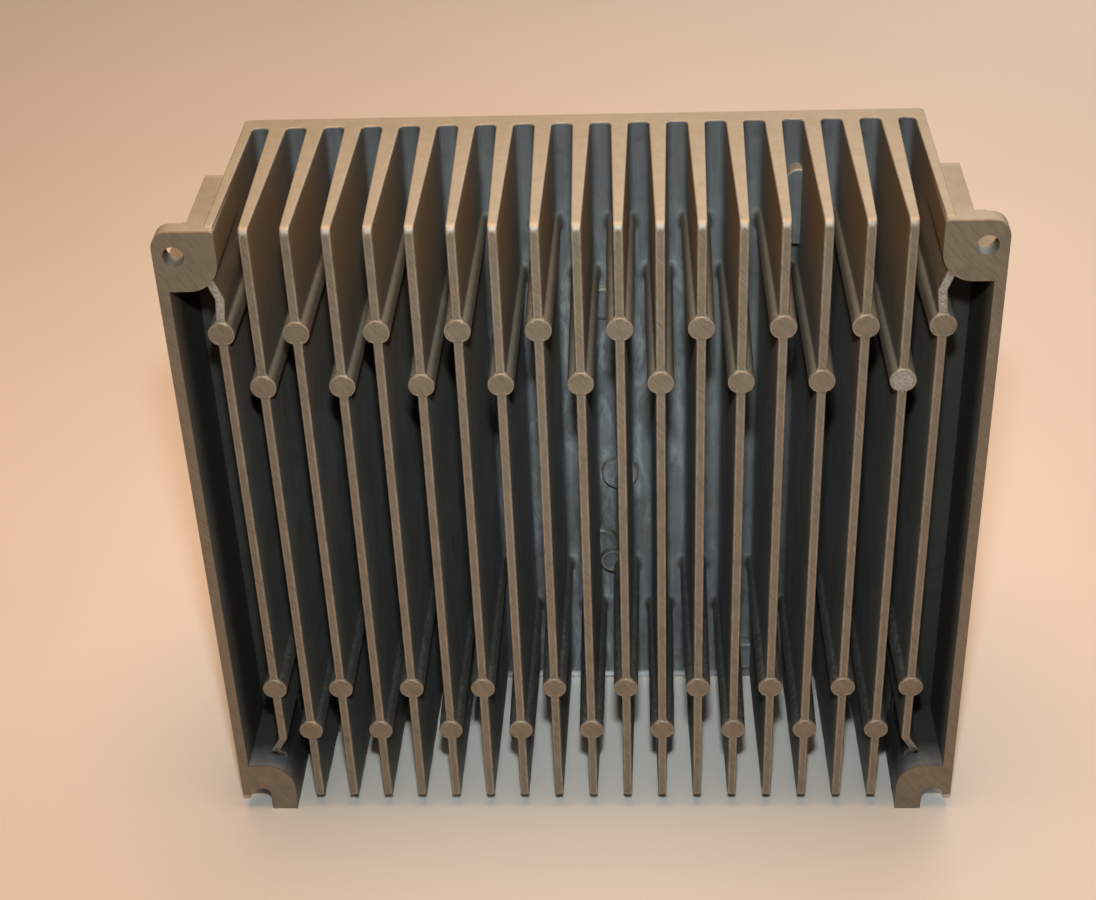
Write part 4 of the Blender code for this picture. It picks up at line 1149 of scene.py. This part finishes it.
def cast_aluminium():
    """Die-cast aluminium: dark and bluish where it was left as cast, sanded bare on the front faces."""
    made = Recipe("cast_aluminium_finish", metallic=0.62)
    grain = made.noise(2400.0, 2.0)
    blotch = made.noise(34.0, 4.0, 0.6)
    patches = made.noise(140.0, 3.0, 0.6)
    scratch = made.drawn_out((3800.0, 300.0, 190.0), 2.0, 0.5, (0.0, radians(38.0), 0.0))
    front = made.along("Y", FRONT_Y + 0.95, FRONT_Y + 0.7)
    colour = made.blend(front, as_cast(made, blotch, patches), sanded(made, scratch, patches))
    # edge wear and painted highlights: bright metal on the rounded edges, less where they face up
    upward = made.facing("Z", 0.15, 0.55)
    wear = made.product(made.worn(210.0, 0.36, 0.58, 0.25, 1.0), made.span(upward, 0.0, 1.0, 1.0, 0.3))
    colour = made.blend(made.product(wear, 0.8), colour, (0.4, 0.335, 0.265))
    rough = made.math("SUBTRACT", made.span(grain, 0.2, 0.8, 0.58, 0.74), made.product(wear, 0.08))
    lumps = made.bump(patches, 0.1, 0.5, made.bump(grain, 0.22, 0.1))
    return made.finish(colour, rough, made.bump(made.product(scratch, front), 0.2, 0.05, lumps))


def lid_aluminium():
    made = Recipe("lid_aluminium_finish", metallic=0.75)
    grain = made.noise(2300.0, 2.0)
    blotch = made.noise(30.0, 4.0, 0.6)
    pits = made.noise(420.0, 2.0, 0.5)
    colour = made.blend(made.span(blotch, 0.32, 0.7), (0.3, 0.3, 0.295), (0.43, 0.42, 0.4))
    colour = made.blend(made.span(pits, 0.24, 0.34, 0.5, 0.0), colour, (0.16, 0.16, 0.155))
    flow = made.drawn_out((34.0, 60.0, 9.0))
    colour = made.blend(made.span(flow, 0.55, 0.75, 0.0, 0.4), colour, (0.52, 0.51, 0.49))
    wear = made.worn(180.0, 0.4, 0.6, 0.15, 1.0)
    colour = made.blend(made.product(wear, 0.75), colour, (0.74, 0.72, 0.69))
    rough = made.math("SUBTRACT", made.span(grain, 0.2, 0.8, 0.45, 0.6), made.product(wear, 0.12))
    normal = made.bump(pits, 0.12, 0.25, made.bump(grain, 0.22, 0.1))
    return made.finish(colour, rough, normal)


def plate_aluminium():
    """Brushed along its length, with faint handling marks."""
    made = Recipe("plate_aluminium_finish", metallic=0.9)
    brushed = made.drawn_out((40.0, 4000.0, 5200.0))
    marks = made.noise(60.0, 4.0, 0.65)
    colour = made.blend(made.span(brushed, 0.3, 0.7), (0.56, 0.56, 0.55), (0.76, 0.76, 0.74))
    colour = made.blend(made.span(marks, 0.55, 0.75, 0.0, 0.35), colour, (0.44, 0.44, 0.43))
    rough = made.span(marks, 0.3, 0.7, 0.28, 0.42)
    return made.finish(colour, rough, made.bump(brushed, 0.15, 0.03))


def zinc_steel():
    made = Recipe("zinc_steel_finish", metallic=0.95)
    cloud = made.noise(420.0, 3.0, 0.6)
    fine = made.noise(3000.0, 2.0)
    colour = made.blend(made.span(cloud, 0.35, 0.68), (0.46, 0.47, 0.48), (0.68, 0.67, 0.62))
    stain = made.noise(700.0, 4.0, 0.7)
    colour = made.blend(made.span(stain, 0.6, 0.75, 0.0, 0.5), colour, (0.34, 0.31, 0.27))
    colour = made.blend(made.product(made.rounded(), 0.6), colour, (0.82, 0.82, 0.8))
    return made.finish(colour, made.span(cloud, 0.3, 0.7, 0.24, 0.4), made.bump(fine, 0.12, 0.03))


def moulded(name, dark, light, roughness, grain_size=0.35):
    """Moulded plastic or rubber with a fine spark-eroded texture."""
    made = Recipe(name)
    grain = made.noise(1.0 / (grain_size * MM), 3.0, 0.6)
    cloud = made.noise(90.0, 3.0, 0.6)
    colour = made.blend(made.span(cloud, 0.3, 0.7), dark, light)
    colour = made.blend(made.worn(600.0, 0.4, 0.6, 0.2, 0.8), colour, (0.12, 0.12, 0.12))
    rough = made.span(grain, 0.25, 0.75, roughness - 0.06, roughness + 0.08)
    return made.finish(colour, rough, made.bump(grain, 0.2, 0.06))


def clear_plastic():
    made = Recipe("clear_plastic_finish")
    made.shader.inputs["Transmission Weight"].default_value = 0.55
    made.shader.inputs["IOR"].default_value = 1.49
    cloud = made.noise(500.0, 3.0)
    colour = made.blend(made.span(cloud, 0.3, 0.7), (0.62, 0.78, 0.66), (0.78, 0.88, 0.8))
    return made.finish(colour, made.span(cloud, 0.3, 0.7, 0.1, 0.22), made.bump(cloud, 0.05, 0.05))


def board_laminate():
    """Green solder mask over copper tracks, with nothing printed on it."""
    made = Recipe("board_laminate_finish")
    made.shader.inputs["Coat Weight"].default_value = 0.4
    tracks = made.add("TexBrick", {
        "Vector": made.stretched((1.0, 1.0, 1.0), (pi / 2, 0.0, 0.0)),
        "Scale": 90.0, "Mortar Size": 0.035, "Mortar Smooth": 0.3,
        "Color1": (1, 1, 1, 1), "Color2": (0.55, 0.55, 0.55, 1), "Mortar": (0, 0, 0, 1),
    }).outputs["Color"]
    weave = made.noise(2600.0, 2.0)
    colour = made.blend(tracks, (0.012, 0.085, 0.03), (0.03, 0.19, 0.075))
    colour = made.blend(made.span(weave, 0.55, 0.75, 0.0, 0.3), colour, (0.05, 0.24, 0.1))
    return made.finish(colour, made.span(weave, 0.3, 0.7, 0.3, 0.42), made.bump(tracks, 0.2, 0.05))


def ferrite():
    made = Recipe("ferrite_finish", metallic=0.15)
    grain = made.noise(1800.0, 4.0, 0.7)
    colour = made.blend(made.span(grain, 0.3, 0.7), (0.045, 0.045, 0.05), (0.11, 0.11, 0.115))
    return made.finish(colour, made.span(grain, 0.3, 0.7, 0.45, 0.65), made.bump(grain, 0.3, 0.08))


def copper_wire():
    """Enamelled wire, turn beside turn."""
    made = Recipe("copper_wire_finish", metallic=0.85)
    made.shader.inputs["Coat Weight"].default_value = 0.5
    turns = made.add("TexWave", {
        "Vector": made.place, "Scale": 160.0, "Distortion": 0.4, "Detail": 1.0, "Detail Scale": 2.0,
    }, bands_direction="DIAGONAL").outputs["Fac"]
    cloud = made.noise(300.0, 3.0)
    colour = made.blend(turns, (0.3, 0.1, 0.035), (0.78, 0.36, 0.15))
    colour = made.blend(made.span(cloud, 0.5, 0.7, 0.0, 0.4), colour, (0.55, 0.2, 0.06))
    return made.finish(colour, made.span(cloud, 0.3, 0.7, 0.22, 0.34), made.bump(turns, 0.7, 0.35))


def winding_tape():
    """Polyester tape in layers, with the overlaps showing."""
    made = Recipe("winding_tape_finish")
    look = {"Vector": made.place, "Scale": 55.0, "Distortion": 0.6}
    layers = made.add("TexWave", look).outputs["Fac"]
    wrinkle = made.noise(260.0, 4.0, 0.65)
    colour = made.blend(layers, (0.6, 0.42, 0.05), (0.82, 0.64, 0.14))
    colour = made.blend(made.span(wrinkle, 0.5, 0.7, 0.0, 0.4), colour, (0.68, 0.5, 0.1))
    return made.finish(colour, made.span(wrinkle, 0.3, 0.7, 0.25, 0.45), made.bump(wrinkle, 0.3, 0.2))


def contact_silver():
    made = Recipe("contact_silver_finish", metallic=1.0)
    lines = made.drawn_out((300.0, 300.0, 5000.0), 2.0, 0.5)
    tarnish = made.noise(500.0, 4.0, 0.65)
    colour = made.blend(made.span(lines, 0.3, 0.7), (0.7, 0.69, 0.66), (0.88, 0.87, 0.83))
    colour = made.blend(made.span(tarnish, 0.55, 0.75, 0.0, 0.5), colour, (0.52, 0.46, 0.36))
    return made.finish(colour, made.span(tarnish, 0.3, 0.7, 0.14, 0.28), made.bump(lines, 0.15, 0.03))


# Moulded finishes: two tones, roughness and, where it isn't the usual one, the size of the grain
MOULDED = {
    "black_rubber": ((0.018, 0.018, 0.018), (0.032, 0.031, 0.03), 0.72, 0.5),
    "black_plastic": ((0.02, 0.02, 0.022), (0.036, 0.036, 0.038), 0.46),
    "grey_plastic": ((0.17, 0.18, 0.19), (0.25, 0.26, 0.27), 0.48),
    "capacitor_sleeve": ((0.02, 0.032, 0.09), (0.04, 0.06, 0.16), 0.3, 1.2),
    "film_box": ((0.55, 0.42, 0.05), (0.7, 0.56, 0.1), 0.42),
    "varistor_coat": ((0.05, 0.13, 0.36), (0.1, 0.22, 0.5), 0.35, 1.0),
    "thermal_pad_grey": ((0.42, 0.47, 0.49), (0.55, 0.6, 0.62), 0.75, 0.8),
}
# The rest, each made by a function named after its slot
OTHERS = (
    cast_aluminium, lid_aluminium, plate_aluminium, zinc_steel, clear_plastic, board_laminate,
    ferrite, copper_wire, winding_tape, contact_silver,
)
FINISHES = {slot: moulded(slot + "_finish", *look) for slot, look in MOULDED.items()}
FINISHES.update({make.__name__: make() for make in OTHERS})


# ---- stage, light and camera

def floor():
    mesh = bmesh.new()
    bmesh.ops.create_grid(mesh, x_segments=1, y_segments=1, size=4000.0)
    made = make_object("floor", mesh, (0.0, 0.0, -0.05))
    look = Recipe("floor_finish")
    fibre = look.noise(900.0, 3.0)
    cloud = look.noise(3.0, 2.0)
    colour = look.blend(look.span(cloud, 0.3, 0.7), (0.595, 0.54, 0.48), (0.64, 0.585, 0.525))
    rough = look.span(fibre, 0.3, 0.7, 0.55, 0.65)
    made.data.materials.append(look.finish(colour, rough, look.bump(fibre, 0.05, 0.1)))


def area_light(name, place, aim, size, power, colour, spread=180.0):
    light = bpy.data.lights.new(name, "AREA")
    light.shape = "DISK"
    light.size = size
    light.energy = power
    light.color = colour
    light.spread = radians(spread)
    made = bpy.data.objects.new(name, light)
    made.location = place
    made.rotation_mode = "QUATERNION"
    made.rotation_quaternion = (Vector(aim) - Vector(place)).to_track_quat("-Z", "Y")
    link(made)


def lights():
    """A warm, wide lamp overhead and a small cool one over the camera, as in the photo, and one behind."""
    world = bpy.data.worlds.new("studio")
    world.use_nodes = True
    background = world.node_tree.nodes["Background"]
    background.inputs["Color"].default_value = (0.84, 0.94, 1.0, 1.0)
    background.inputs["Strength"].default_value = 0.1
    bpy.context.scene.world = world
    area_light("overhead", (0.0, 0.08, 1.3), (0.0, 0.0, 0.1), 1.0, 19.5, (1.0, 0.59, 0.31))
    area_light("behind", (0.55, 1.2, 0.75), (0.0, 0.0, 0.1), 1.2, 6.5, (0.88, 0.95, 1.0))
    flash = (0.02, -0.495, 0.572)
    area_light("over_the_camera", flash, (0.0, 0.0, 0.11), 0.035, 0.46, (0.82, 0.94, 1.0), spread=60.0)
    bpy.context.scene.view_settings.view_transform = "Standard"


CAMERA_PLACE = (0.01934, -0.54904, 0.48723)
CAMERA_YAW = 3.48             # degrees, to the left of straight on
CAMERA_PITCH = 34.16          # degrees below the horizon
CAMERA_ROLL = -2.5
CAMERA_LENS = 63.9            # mm
CAMERA_SENSOR = 36.0          # mm


def camera():
    yaw, pitch, roll = (radians(a) for a in (CAMERA_YAW, CAMERA_PITCH, CAMERA_ROLL))
    ahead = Vector((-sin(yaw) * cos(pitch), cos(yaw) * cos(pitch), -sin(pitch)))
    level = Vector((cos(yaw), sin(yaw), 0.0))
    upward = level.cross(ahead)
    right = cos(roll) * level + sin(roll) * upward
    up = cos(roll) * upward - sin(roll) * level
    data = bpy.data.cameras.new("camera")
    data.lens = CAMERA_LENS
    data.sensor_width = CAMERA_SENSOR
    made = bpy.data.objects.new("camera", data)
    turn = Matrix((right, up, -ahead)).transposed().to_4x4()
    made.matrix_world = Matrix.Translation(CAMERA_PLACE) @ turn
    bpy.context.scene.camera = link(made)


# ---- everything together

stand_for(housing(), "cast_aluminium", "heatsink_casting")
stand_for(lid(), "lid_aluminium", "rear_lid")
stand_for(rating_plate(), "plate_aluminium", "rating_plate")
stand_for(status_lens(), "clear_plastic", "status_lens")
# screws: length, radius of the thread, radius of the head
add_screws([f"lid_screw_{number:02d}" for number in range(1, 11)], 14.0, 2.0, 3.6)
add_screws([f"board_screw_{number}" for number in range(1, 5)], 8.5, 1.5, 2.9)
add_screws(["clamp_screw_1", "clamp_screw_2"], 10.0, 1.5, 2.9)
add_screws(["earth_screw"], 5.0, 2.5, 5.2)
connectors()

for subpart in frame["record"]["subparts"]:
    for material_slot in frame["nodes"][subpart["node"]].material_slots:
        material_slot.material = FINISHES[subpart["material_slot"]]

floor()
lights()
camera()
